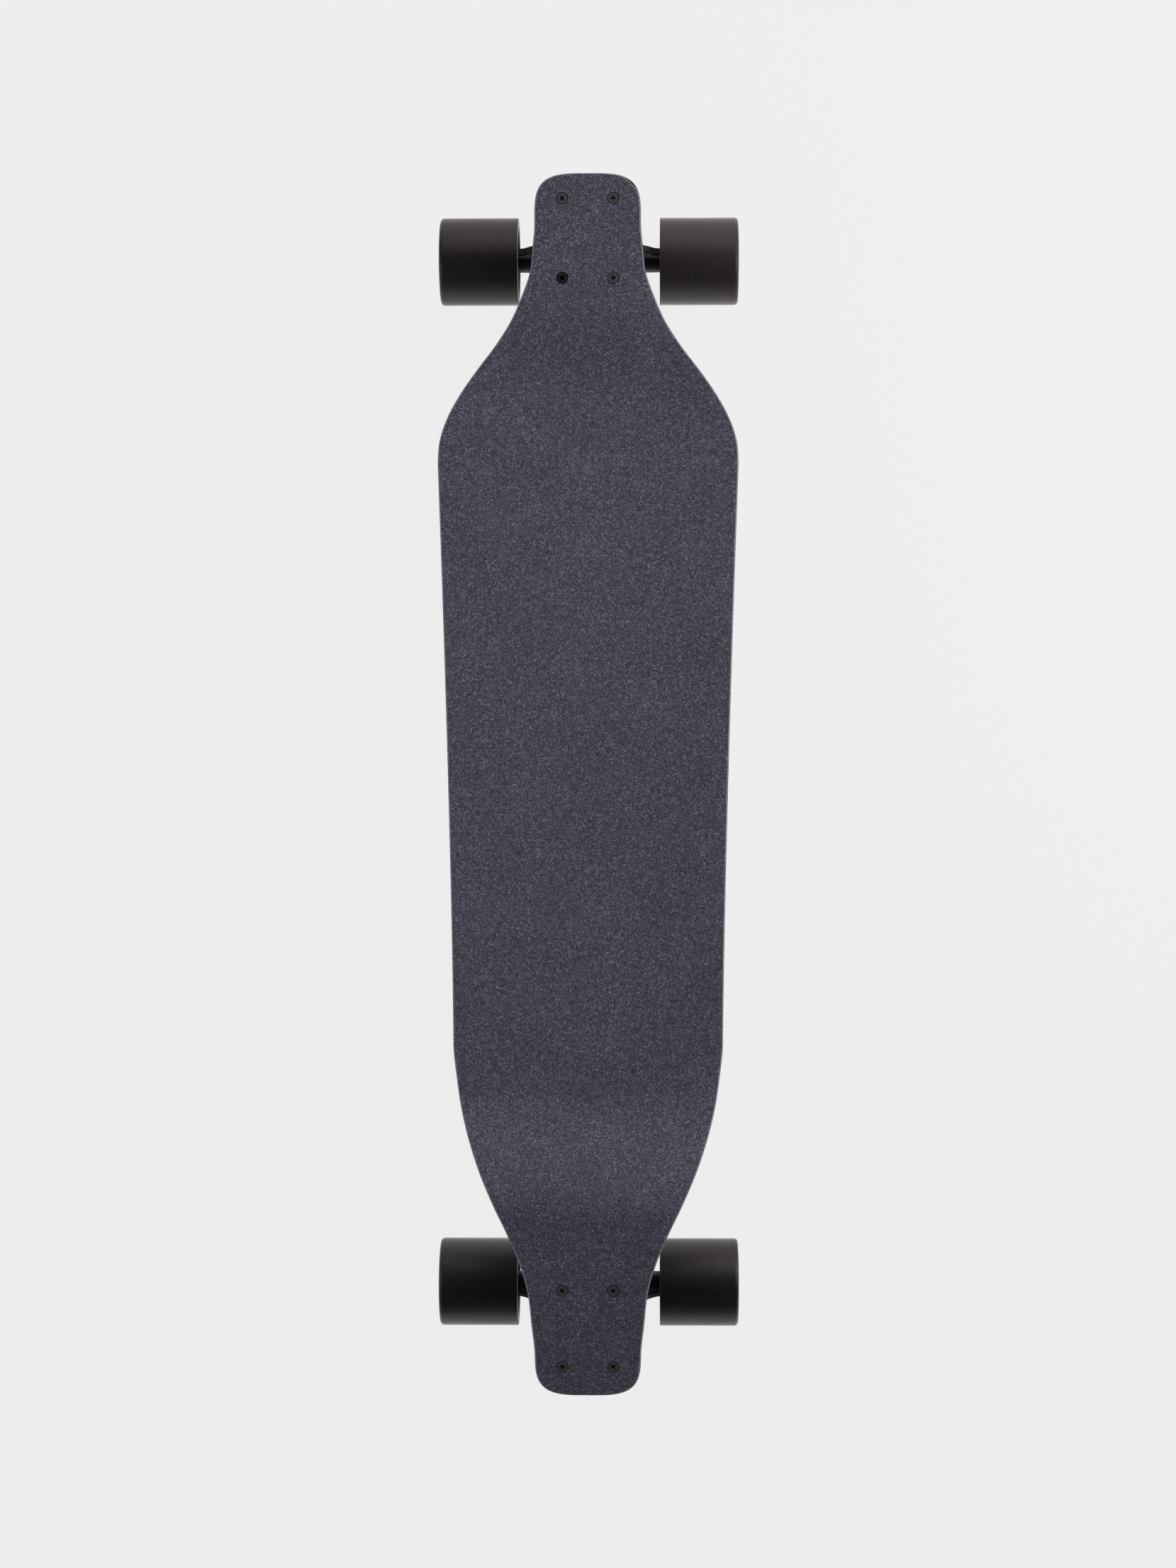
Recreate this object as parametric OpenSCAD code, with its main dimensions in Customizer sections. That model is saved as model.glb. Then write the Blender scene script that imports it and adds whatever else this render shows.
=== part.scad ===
// Longboard skateboard with a drop-down deck and reverse-kingpin trucks.
// Origin on the ground below the middle of the deck: +X right, +Y towards the nose, +Z up.

/* [Deck] */
// Length from nose to tail
deck_len = 990.6; // [940:1:1040]
// Width at the front shoulders, the widest place
front_w = 245.3; // [232:1:262]
// Width at the rear shoulders
rear_w = 219.8; // [204:1:232]
// Width of the narrow ends over the trucks
neck_w = 86.3; // [82:0.5:96]
// Thickness of the laminate
deck_t = 11; // [9:0.5:13]
// Thickness of the grip tape
grip_t = 0.9; // [0.6:0.1:1.4]
// How far the platform lies below the front mount
platform_drop = 24; // [16:1:30]
// Rise of the rails above the middle of the platform
concave = 8; // [2:1:12]
// Length of the rounded end at the nose and at the tail
cap_len = 37; // [30:1:42]
// Round of the deck's top edge, where the grip tape ends
top_edge_r = 1.2; // [0.8:0.1:2]
// Round of the deck's lower edge
low_edge_r = 3.2; // [2:0.2:4]

/* [Places along the deck] */
// Front bolt pattern's middle to the nose
nose_setback = 51.6; // [50:1:56]
// Rear bolt pattern's middle to the tail
tail_setback = 55.6; // [52:1:60]
// Flat part of the front mount, inboard of the bolt pattern's middle
front_flat = 57.7; // [57:0.5:64]
// Flat part of the rear mount, inboard of the bolt pattern's middle
rear_flat = 89.7; // [80:1:100]
// Length of the slope between the front mount and the platform
front_slope_len = 68; // [56:1:80]
// Length of the slope between the rear mount and the platform
rear_slope_len = 102; // [90:1:116]
// Length of the cut-in between the front shoulder and its neck
front_cut_len = 191; // [176:1:206]
// Length of the cut-in between the rear shoulder and its neck
rear_cut_len = 250; // [236:1:262]
// Narrowest place of the front neck, outboard of the bolt pattern's middle
front_neck_out = 10.7; // [6:0.5:16]
// Narrowest place of the rear neck, outboard of the bolt pattern's middle
rear_neck_out = 21.7; // [16:0.5:22]

/* [Deck bolts] */
// Bolt pattern across the board
bolt_x = 41.3; // [40:0.1:43]
// Bolt pattern along the board, the long pattern
bolt_y = 63.5; // [62:0.1:65]
// Distance to the baseplate's third pair of holes, from the outboard pair
short_bolt_y = 54; // [52:0.1:55]
// Diameter of a deck bolt's shank
bolt_d = 4.8; // [4:0.1:5]
// Diameter of a deck bolt's flat head
bolt_head_d = 9.3; // [8.6:0.1:9.8]
// Length of a deck bolt, head included
bolt_len = 25.4; // [25:0.1:30]
// Width across the flats of a deck bolt's nut
bolt_nut_af = 9.5; // [8.5:0.1:10]
// Height of a deck bolt's nut
bolt_nut_h = 6; // [4.5:0.1:6.4]

/* [Trucks] */
// Tilt of both mounts, nose side up
mount_tilt = 7.5; // [6.5:0.25:8.5]
// Angle between the mounting face and the steering axis
plate_angle = 50; // [49:0.5:51]
// Mounting face to the axle
truck_h = 67; // [66.5:0.1:68.5]
// Axle inboard of the bolt pattern's middle
axle_in = 16.2; // [15.5:0.5:18]
// Axle to the steering axis
rake = 5; // [4.4:0.2:5.6]
// Kingpin to the axle, along the steering axis
ring_to_axle = 37.6; // [37:0.2:39]
// Axle to the middle of the pivot ball, along the steering axis
axle_to_pivot = 17; // [16.5:0.25:18]
// Width of the hanger between its end faces
hanger_w = 157; // [150:1:160]
// Length of the axle
axle_len = 228.6; // [224:0.2:234]
// Diameter of the axle, and of the bearings' bores
axle_d = 8; // [7.6:0.1:8.4]
// Diameter of the kingpin
kingpin_d = 9.5; // [9:0.1:10]
// Diameter of both bushings where they are widest
bushing_d = 26; // [24:0.5:27]
// Height of each bushing
bushing_h = 15; // [14.5:0.1:15.5]
// Diameter of the pivot ball
pivot_d = 12.8; // [12:0.1:13.2]
// Thickness of the baseplate's flange
flange_t = 6; // [5:0.25:6.5]
// Width of the baseplate's flange
flange_w = 54; // [52:0.5:62]
// Height of an axle nut
axle_nut_h = 7; // [6:0.2:8]
// Thickness of a speed washer
speed_washer_t = 0.8; // [0.6:0.1:1.2]

/* [Wheels] */
// Diameter of a wheel
wheel_d = 72; // [68:1:76]
// Width of a wheel
wheel_w = 65; // [58:0.5:66]
// Diameter of the core that the tyre is cast around
core_d = 42; // [40:0.5:46]
// Width of the core's rim
core_w = 30; // [28:0.5:36]
// Round of the tyre's outer lip
lip_r = 3.5; // [2:0.25:5]
// Outer diameter of a bearing
bearing_d = 22; // [21.6:0.1:22.6]
// Width of a bearing
bearing_w = 7; // [6.6:0.1:7.4]
// Length of the spacer between a wheel's two bearings
spacer_len = 10; // [9.5:0.1:12]
// Diameter of a bearing ball
ball_d = 3.96; // [3.8:0.02:4.04]
// Balls in each bearing
ball_count = 7; // [5:1:7]

/* [Clearances] */
// Running gap of the pivot ball in its cup, and of a ball in its groove
run_gap = 0.08; // [0.05:0.01:0.1]
// Gap round a deck bolt's shank and head
bolt_gap = 0.4; // [0.2:0.05:0.6]
// Gap between a ball and its cage, and between cage and shield
cage_gap = 0.12; // [0.08:0.01:0.16]

/* [Hidden] */
ENDS = ["front", "rear"];
SIDES = ["left", "right"];
TRUCK_PARTS = [
    "baseplate", "kingpin", "kingpin_nut", "pivot_cup", "boardside_bushing", "roadside_bushing",
    "boardside_washer", "roadside_washer", "hanger", "axle", "axle_nuts", "speed_washers",
    "bearing_inner_races", "bearing_spacers", "deck_bolts", "deck_nuts"
];
WHEEL_PARTS = [
    "tyre", "core", "bearing_outer_races", "bearing_shields", "bearing_balls", "bearing_cages"
];
$fn = 48;
// How far a cut runs past the face that it opens
over = 1;

// Share of the cut-in's depth that is left, at even steps from the shoulder to the neck
front_cut = [1, 0.979, 0.896, 0.762, 0.592, 0.405, 0.248, 0.138, 0.052, 0.022, 0];
rear_cut = [1, 0.96, 0.904, 0.809, 0.678, 0.515, 0.338, 0.184, 0.082, 0.04, 0];
// Exponents of the rounded ends and of the taper between the shoulders
cap_power = 3.6;
taper_power = 1.38;
// Facets across the deck, and stations along each stretch of it
across = 8;
cap_steps = 7;
// Half of the flat at the very end of the nose and the tail, as an angle of the cap
cap_first = 7;
// Slope of the grip tape's cut edge, and share of a round that its flat stands in
grip_bevel = 0.3;
round_share = 0.3;

front_mount_y = deck_len / 2 - nose_setback;
rear_mount_y = tail_setback - deck_len / 2;
cap_y = deck_len / 2 - cap_len;
front_neck_y = front_mount_y + front_neck_out;
rear_neck_y = rear_mount_y - rear_neck_out;
front_shoulder_y = front_neck_y - front_cut_len;
rear_shoulder_y = rear_neck_y + rear_cut_len;
front_in_y = front_mount_y - front_flat;
rear_in_y = rear_mount_y + rear_flat;
front_foot_y = front_in_y - front_slope_len;
rear_foot_y = rear_in_y + rear_slope_len;

// Truck frame: x across, y outboard, z up, at the bolt pattern's middle on the deck's lower face.
// Along the steering axis u rises outboard, and the kingpin points along k, outboard and down.
u = [0, cos(plate_angle), sin(plate_angle)];
k = [0, sin(plate_angle), -cos(plate_angle)];
axle_at = [0, -axle_in, -truck_h];
ring_at = axle_at - rake * k + ring_to_axle * u;
pivot_at = ring_at - (ring_to_axle + axle_to_pivot) * u;
wheel_r = wheel_d / 2;
top_at_bolts = deck_t + grip_t;
front_at = [
    0,
    front_mount_y + top_at_bolts * sin(mount_tilt),
    wheel_r + truck_h * cos(mount_tilt) + axle_in * sin(mount_tilt)
];
rear_at = [
    0,
    rear_mount_y + top_at_bolts * sin(mount_tilt),
    wheel_r + truck_h * cos(mount_tilt) - axle_in * sin(mount_tilt)
];
tilt_slope = tan(mount_tilt);
// Height of the deck's top face over the row frame's y, on each mount's plane
function mount_top(at, y) = at.z + (y - at.y) * tilt_slope + deck_t / cos(mount_tilt);
platform_z = mount_top(front_at, front_mount_y) - platform_drop;

// Hanger's ring
web_t = 9;
ring_lip = 2;
ring_wall = 3.5;
ring_room = 3.3;
ring_seat_gap = 0.2;
ring_r = bushing_d / 2 + ring_wall;
ring_hole_r = kingpin_d / 2 + ring_room;
// Bushings and their washers
bushing_gap = 0.3;
bushing_bevel = 1;
bushing_tip_r = 9.5;
bushing_straight = 3;
cup_washer_rim = 0.8;
road_washer_in = 2;
// Kingpin's stack, as distances from the ring's middle along the kingpin
cup_washer_t = 1.2;
road_washer_t = 1.5;
seat_at = web_t / 2 + bushing_h + cup_washer_t;
seat_wall = 11.3;
head_at = seat_at + seat_wall;
head_h = 6;
head_af = 14.3;
road_nut_at = web_t / 2 + bushing_h + road_washer_t;
road_nut_h = 9;
road_nut_af = 14.3;
thread_past_nut = 1.5;
kingpin_end = road_nut_at + road_nut_h + thread_past_nut;
bar_chamfer = 0.8;
// Hexagon's share of a locknut's height, and its round collar's share of the width
nut_hex = 0.72;
nut_collar = 0.93;
// Hanger's beam
beam_r = 10;
beam_end_r = 8.5;
gusset_t = 8;
gusset_overlap = 2;
gusset_ring_drop = 7;
shoulder_x = 34;
shoulder_rise = 21;
waist_share = 0.7;
waist_rise = 13;
stem_r = pivot_d / 2 - 1.2;
stem_top_r = beam_r - 2.5;
stem_room = 3;
// Pivot cup, and the boss that holds it
cup_wall = 3;
cup_r = pivot_d / 2 + cup_wall;
cup_mouth = 2;
cup_floor = 3.2;
cup_depth = pivot_d / 2 + cup_floor;
boss_wall = 3;
boss_floor = 2;
boss_r = cup_r + boss_wall;
// Baseplate
leg_w = 23;
flange_out = 42;
flange_in = 56;
flange_corner = 8;
plate_hole_r = 2.75;
seat_rim = 2;
seat_r = bushing_d / 2 + seat_rim;
head_room = 0.4;
block_back = 0.8;
block_waist = [12, -13.5];
block_foot = 3;
block_heel = 9;
block_low = 0.62;
block_front = 6;
fin_w = 6;
fin_in = 8;

// Stack along the axle, from the hanger's end face
inner_race_at = hanger_w / 2 + speed_washer_t;
spacer_at = inner_race_at + bearing_w;
outer_bearing_at = spacer_at + spacer_len;
axle_nut_at = outer_bearing_at + bearing_w + speed_washer_t;
wheel_x = spacer_at + spacer_len / 2;
// Bearing
axle_r = axle_d / 2;
bearing_r = bearing_d / 2;
pitch_r = (axle_r + bearing_r) / 2;
ball_r = ball_d / 2;
race_gap_half = 1.5;
shield_t = 0.4;
groove_r = ball_r + run_gap;
shield_gap = 0.3;
cage_wall = 0.9;
cage_low = 0.4;
spacer_wall = 1.2;
washer_wall = 2.4;
axle_nut_af = 12.7;
// Wheel
core_r = core_d / 2;
core_lip = 4;
hub_wall = 2.2;
hub_r = bearing_r + hub_wall;
hub_half = spacer_len / 2 + bearing_w;
hub_shoulder = 2;
disc_inset = 3;
inner_lip = 0.8;
inner_face_r = 29;
outer_face_r = 26.5;
window_count = 8;
window_r = 2.7;

// Value of an evenly spaced list at a share t of its length, on a smooth curve
function along(v, t) =
    let(
        s = min(max(t, 0), 1) * (len(v) - 1),
        i = min(floor(s), len(v) - 2),
        f = s - i,
        a = v[max(i - 1, 0)],
        b = v[i],
        c = v[i + 1],
        d = v[min(i + 2, len(v) - 1)]
    )
    b + f / 2 * (c - a + f * (2 * a - 5 * b + 4 * c - d + f * (3 * (b - c) + d - a)));

function mix(a, b, t) = a + (b - a) * t;

// Half of the deck's width between its two rounded ends
function half_width(y) =
    y >= front_shoulder_y
    ? mix(neck_w / 2, front_w / 2, along(front_cut, (y - front_shoulder_y) / front_cut_len))
    : y <= rear_shoulder_y
    ? mix(neck_w / 2, rear_w / 2, along(rear_cut, (rear_shoulder_y - y) / rear_cut_len))
    : mix(rear_w / 2, front_w / 2,
          pow((y - rear_shoulder_y) / (front_shoulder_y - rear_shoulder_y), taper_power));

// Right half of the outline at the nose, from the tip to the start of the neck
function cap_point(angle) = [
    neck_w / 2 * pow(sin(angle), 2 / cap_power),
    cap_y + cap_len * pow(cos(angle), 2 / cap_power)
];

function steps(from, to, count) = [for (i = [0 : count - 1]) mix(from, to, i / count)];

cap_angles = steps(cap_first, 90, cap_steps);
body_y = concat(
    steps(-cap_y, rear_in_y, 7),
    steps(rear_in_y, rear_foot_y, 9),
    steps(rear_foot_y, front_foot_y, 22),
    steps(front_foot_y, front_in_y, 7),
    steps(front_in_y, cap_y, 6),
    [cap_y]
);
// Right half of the outline, from tail to nose
outline = concat(
    [for (a = cap_angles) [cap_point(a).x, -cap_point(a).y]],
    [for (y = body_y) [half_width(y), y]],
    [for (i = [cap_steps - 1 : -1 : 0]) cap_point(cap_angles[i])]
);
last = len(outline) - 1;

// Outward direction of the outline at one station
function outward(i) =
    let(d = outline[min(i + 1, last)] - outline[max(i - 1, 0)])
    i == 0 ? [0, -1] : i == last ? [0, 1] : [d.y, -d.x] / norm(d);

// Height and slope of a smooth ramp between two [y, height, slope] places
function ramp(a, b, y) =
    let(h = b[0] - a[0], t = (y - a[0]) / h, d = (b[1] - a[1]) / h)
    [
        a[1] + h * t * (a[2] + t * (3 * d - 2 * a[2] - b[2] + t * (a[2] + b[2] - 2 * d))),
        a[2] + t * (2 * (3 * d - 2 * a[2] - b[2]) + 3 * t * (a[2] + b[2] - 2 * d))
    ];

// Height and slope of the deck's top face on its centre line
function centre_line(y) =
    y >= front_in_y ? [mount_top(front_at, y), tilt_slope]
    : y <= rear_in_y ? [mount_top(rear_at, y), tilt_slope]
    : y >= front_foot_y
    ? ramp([front_foot_y, platform_z, 0], [front_in_y, mount_top(front_at, front_in_y), tilt_slope], y)
    : y <= rear_foot_y
    ? ramp([rear_in_y, mount_top(rear_at, rear_in_y), tilt_slope], [rear_foot_y, platform_z, 0], y)
    : [platform_z, 0];

function ease(t) = let(s = min(max(t, 0), 1)) s * s * (3 - 2 * s);

// Rise of the rails at y, which fades out over each slope
function rail_rise(y) =
    concave * ease((front_in_y - y) / front_slope_len) * ease((y - rear_in_y) / rear_slope_len);

// Point over station i of the outline, drawn in by inset, at a share s of the half width
// and a height above the deck's top face, measured square to the centre line
function deck_point(i, inset, s, above) =
    let(
        edge = outline[i] - inset * outward(i),
        x = s * edge.x,
        c = centre_line(edge.y)
    )
    [
        x,
        edge.y,
        c[0] + rail_rise(edge.y) * pow(x / outline[i].x, 2) + above * sqrt(1 + c[1] * c[1])
    ];

shares = [for (j = [0 : across]) mix(-1, 1, j / across)];

// One closed ring of the section at station i: top face, right edge, lower face, left edge
function deck_ring(i) =
    let(
        edge = [
            [top_edge_r * round_share, -top_edge_r * round_share],
            [0, -top_edge_r],
            [0, low_edge_r - deck_t],
            [low_edge_r * round_share, low_edge_r * round_share - deck_t]
        ]
    )
    concat(
        [for (s = shares) deck_point(i, top_edge_r, s, 0)],
        [for (e = edge) deck_point(i, e[0], 1, e[1])],
        [for (s = shares) deck_point(i, low_edge_r, -s, -deck_t)],
        [for (j = [len(edge) - 1 : -1 : 0]) deck_point(i, edge[j][0], -1, edge[j][1])]
    );

function grip_ring(i) = concat(
    [for (s = shares) deck_point(i, top_edge_r + grip_bevel, s, grip_t)],
    [for (s = shares) deck_point(i, top_edge_r, -s, 0)]
);

// Row t of a ring from left to right: its top face, each pair of edge points, then its lower face
function ring_row(t, edge, m) =
    t == 0 ? [for (j = [0 : across]) j]
    : t > edge ? [for (j = [across + 1 : -1 : 1]) across + edge + j]
    : [m - t, across + t];

// Closed skin over rings of equal length. A ring is a row of points across the top, then the points
// down its right edge, a row back across the bottom, and the points up its left edge.
module skin(rings) {
    m = len(rings[0]);
    n = len(rings);
    edge = m / 2 - across - 1;
    points = [for (r = rings) for (p = r) p];
    // Each quad is split towards +x, so that two skins split the face that they share alike
    sides = [
        for (i = [0 : n - 2]) for (j = [0 : m - 1])
            let(a = i * m + j, b = i * m + (j + 1) % m)
            each points[b].x > points[a].x
                ? [[a, a + m, b + m], [a, b + m, b]]
                : [[a, a + m, b], [a + m, b + m, b]]
    ];
    // Strips of triangles from edge to edge close the tail, and in reverse the nose
    tail = [
        for (t = [0 : edge])
            let(upper = ring_row(t, edge, m), lower = ring_row(t + 1, edge, m))
            each concat(
                [for (j = [1 : len(upper) - 1]) [upper[j - 1], upper[j], lower[0]]],
                [for (j = [1 : len(lower) - 1]) [upper[len(upper) - 1], lower[j], lower[j - 1]]]
            )
    ];
    nose = [for (f = tail) [for (j = [2 : -1 : 0]) (n - 1) * m + f[j]]];
    polyhedron(points, concat(sides, tail, nose), convexity = 6);
}

// Places its children in a truck's frame
module at_truck(end) {
    if (end == "front") translate(front_at) rotate([mount_tilt, 0, 0]) children();
    else translate(rear_at) rotate([mount_tilt, 0, 0]) rotate([0, 0, 180]) children();
}

// Left and right of the board, seen in the truck's frame
function side_sign(end, side) = (side == "right" ? 1 : -1) * (end == "front" ? 1 : -1);

module at_axle() translate(axle_at) children();

// +Z of the children points away from the board's middle along the axle
module along_axle(x, sign = 1) at_axle() rotate([0, sign * 90, 0]) translate([0, 0, x]) children();

// +Z of the children points along the kingpin, from the ring's middle
module along_kingpin(d) translate(ring_at + d * k) rotate([plate_angle - 180, 0, 0]) children();

// +Z of the children points along the steering axis, from the pivot
module along_pivot(d) translate(pivot_at + d * u) rotate([plate_angle - 90, 0, 0]) children();

module tube(r_out, r_in, h) difference() {
    cylinder(r = r_out, h = h);
    translate([0, 0, -over]) cylinder(r = r_in, h = h + 2 * over);
}

// Flats of a hexagon of width af lie along x
module hex(af, h) cylinder(r = af / sqrt(3), h = h, $fn = 6);

module hex_nut(af, h, bore_r) difference() {
    union() {
        hex(af, h * nut_hex);
        cylinder(r = af / 2 * nut_collar, h = h);
    }
    translate([0, 0, -over]) cylinder(r = bore_r, h = h + 2 * over);
}

// Deck bolts
bolt_r = bolt_d / 2;
head_r = bolt_head_d / 2;
head_top = deck_t + grip_t / 2;
head_rim = 0.5;
cone_h = head_r - bolt_r;
recess_reach = 2.88;
recess_w = 1.1;
recess_depth = 2;
socket_af = 3.6;
socket_depth = 2.4;
bolt_places = [
    for (y = [bolt_y / 2, -bolt_y / 2]) for (x = [-bolt_x / 2, bolt_x / 2]) [x, y]
];
plate_places = concat(bolt_places, [
    for (x = [-bolt_x / 2, bolt_x / 2]) [x, bolt_y / 2 - short_bolt_y]
]);
MARKER = 2;

module bolt_body() {
    rotate_extrude() polygon([
        [0, head_top - bolt_len],
        [bolt_r - head_rim, head_top - bolt_len],
        [bolt_r, head_top - bolt_len + head_rim],
        [bolt_r, head_top - head_rim - cone_h],
        [head_r, head_top - head_rim],
        [head_r, head_top],
        [0, head_top]
    ]);
}

// Room for a bolt in the deck and the grip tape: the head's cone is its seat
module bolt_room() {
    rotate_extrude() polygon([
        [0, -over],
        [bolt_r + bolt_gap, -over],
        [bolt_r + bolt_gap, head_top - head_rim - cone_h + bolt_gap],
        [head_r, head_top - head_rim],
        [head_r, deck_t],
        [head_r + bolt_gap, deck_t],
        [head_r + bolt_gap, deck_t + grip_t + over],
        [0, deck_t + grip_t + over]
    ]);
}

module all_bolt_rooms() {
    for (end = ENDS) at_truck(end) for (p = bolt_places) translate([p.x, p.y, 0]) bolt_room();
}

module deck() {
    color("#6b5a44") difference() {
        skin([for (i = [0 : last]) deck_ring(i)]);
        all_bolt_rooms();
    }
}

module grip_tape() {
    color("#45464d") difference() {
        skin([for (i = [0 : last]) grip_ring(i)]);
        all_bolt_rooms();
    }
}

// Bolt with a cross recess, turned to its own angle
module cross_bolt(place, turn) {
    h = recess_depth + over;
    translate([place.x, place.y, 0]) difference() {
        bolt_body();
        translate([0, 0, head_top - recess_depth]) rotate([0, 0, turn]) {
            translate([-recess_reach, -recess_w / 2, 0]) cube([2 * recess_reach, recess_w, h]);
            translate([-recess_w / 2, -recess_reach, 0]) cube([recess_w, 2 * recess_reach, h]);
        }
    }
}

module deck_bolts(end) {
    turns = end == "front" ? [20, 62, 0, 38] : [12, 47, 71, 28];
    color("#1d1d1f") for (i = [0 : 3])
        if (end == "rear" || i != MARKER) cross_bolt(bolt_places[i], turns[i]);
}

module marker_bolt() {
    color("#1a1a1c") translate([bolt_places[MARKER].x, bolt_places[MARKER].y, 0]) difference() {
        bolt_body();
        translate([0, 0, head_top - socket_depth]) hex(socket_af, socket_depth + over);
    }
}

module deck_nuts() {
    color("#a9abad") for (p = bolt_places)
        translate([p.x, p.y, -flange_t]) rotate([180, 0, 0]) hex_nut(bolt_nut_af, bolt_nut_h, bolt_r);
}

// Plate with round corners, between y0 and y1, hanging below z = 0
module round_plate(w, y0, y1, t, r) {
    translate([-w / 2, y0 + r, -t]) cube([w, y1 - y0 - 2 * r, t]);
    translate([-w / 2 + r, y0, -t]) cube([w - 2 * r, y1 - y0, t]);
    for (x = [-w / 2 + r, w / 2 - r]) for (y = [y0 + r, y1 - r])
        translate([x, y, -t]) cylinder(r = r, h = t);
}

// Place in the truck's frame from distances along the steering axis and the kingpin
function uk(du, dk) = [for (v = [ring_at + du * u + dk * k]) [v.y, v.z]][0];

module baseplate() {
    pivot_u = -(ring_to_axle + axle_to_pivot);
    // The block stands back from the machined seat and from both faces of the boss
    mouth_u = pivot_u + cup_mouth - block_back;
    floor_u = pivot_u - cup_depth - boss_floor + block_back;
    seat_y = uk(seat_r, -seat_at).x;
    // Side view of the block that carries the kingpin's seat and the pivot's boss
    side = [
        uk(seat_r - block_back, -seat_at - block_back),
        uk(-seat_r + block_back, -seat_at - block_back),
        uk(-ring_to_axle + block_waist.x, block_waist.y),
        uk(mouth_u, -boss_r + 2 * block_back),
        uk(mouth_u, 0),
        uk(floor_u, 0),
        uk(floor_u, -boss_r + block_back),
        [-flange_in + block_heel, -truck_h * block_low],
        [-flange_in + block_foot, -flange_t - block_foot],
        [-flange_in + block_foot, -flange_t / 2],
        [seat_y + block_front, -flange_t / 2]
    ];
    color("#232325") difference() {
        union() {
            round_plate(flange_w, -flange_in, flange_out, flange_t, flange_corner);
            translate([-leg_w / 2, 0, 0]) rotate([90, 0, 90]) linear_extrude(leg_w) polygon(side);
            along_kingpin(-head_at) cylinder(r = seat_r, h = seat_wall);
            along_pivot(-cup_depth - boss_floor)
                cylinder(r = boss_r, h = cup_depth + boss_floor + cup_mouth);
            // Outboard fin under the flange
            translate([-fin_w / 2, 0, 0]) rotate([90, 0, 90]) linear_extrude(fin_w) polygon([
                [seat_y, -flange_t / 2],
                uk(seat_r, -seat_at),
                [flange_out - fin_in, -flange_t],
                [flange_out - fin_in, -flange_t / 2]
            ]);
        }
        // Kingpin's hole, and the pocket that lets its head in from the mounting face
        along_kingpin(-head_at - over) cylinder(r = kingpin_d / 2, h = seat_wall + 2 * over);
        along_kingpin(-head_at - truck_h) cylinder(r = head_af / sqrt(3) + head_room, h = truck_h);
        // Pivot cup's seat
        along_pivot(-cup_depth) cylinder(r = cup_r, h = cup_depth + cup_mouth + over);
        for (p = plate_places) translate([p.x, p.y, -flange_t - over])
            cylinder(r = plate_hole_r, h = flange_t + 2 * over);
    }
}

// Round bar with a chamfer at its far end
module bar(r, length) {
    rotate_extrude() polygon([
        [0, 0],
        [r, 0],
        [r, length - bar_chamfer],
        [r - bar_chamfer, length],
        [0, length]
    ]);
}

module kingpin() {
    color("#8d9094") {
        along_kingpin(-head_at - head_h) hex(head_af, head_h);
        along_kingpin(-head_at - head_h / 2)
            bar(kingpin_d / 2, head_at + head_h / 2 + kingpin_end);
    }
}

module kingpin_nut() {
    color("#9a9da1") along_kingpin(road_nut_at) hex_nut(road_nut_af, road_nut_h, kingpin_d / 2);
}

module pivot_cup() {
    color("#2a2a2c") along_pivot(0) difference() {
        translate([0, 0, -cup_depth]) cylinder(r = cup_r, h = cup_depth + cup_mouth);
        sphere(r = pivot_d / 2 + run_gap);
        cylinder(r = pivot_d / 2 + run_gap, h = cup_mouth + over);
    }
}

// Bushing that is straight up to one height and then tapers to its tip
module bushing(straight, tip) {
    bore = kingpin_d / 2 + bushing_gap;
    r = bushing_d / 2;
    color("#2b2b2e") rotate_extrude() polygon([
        [bore, 0],
        [r - bushing_bevel, 0],
        [r, bushing_bevel],
        [r, straight],
        [tip, bushing_h - bushing_bevel],
        [tip - bushing_bevel, bushing_h],
        [bore, bushing_h]
    ]);
}

module boardside_bushing() {
    along_kingpin(-web_t / 2 - bushing_h) bushing(bushing_h / 2, bushing_d / 2);
}

module roadside_bushing() {
    along_kingpin(web_t / 2) bushing(bushing_straight, bushing_tip_r);
}

module boardside_washer() {
    color("#9a9da1") along_kingpin(-seat_at)
        tube(bushing_d / 2 + cup_washer_rim, kingpin_d / 2, cup_washer_t);
}

module roadside_washer() {
    color("#9a9da1") along_kingpin(web_t / 2 + bushing_h)
        tube(bushing_d / 2 - road_washer_in, kingpin_d / 2, road_washer_t);
}

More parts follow.
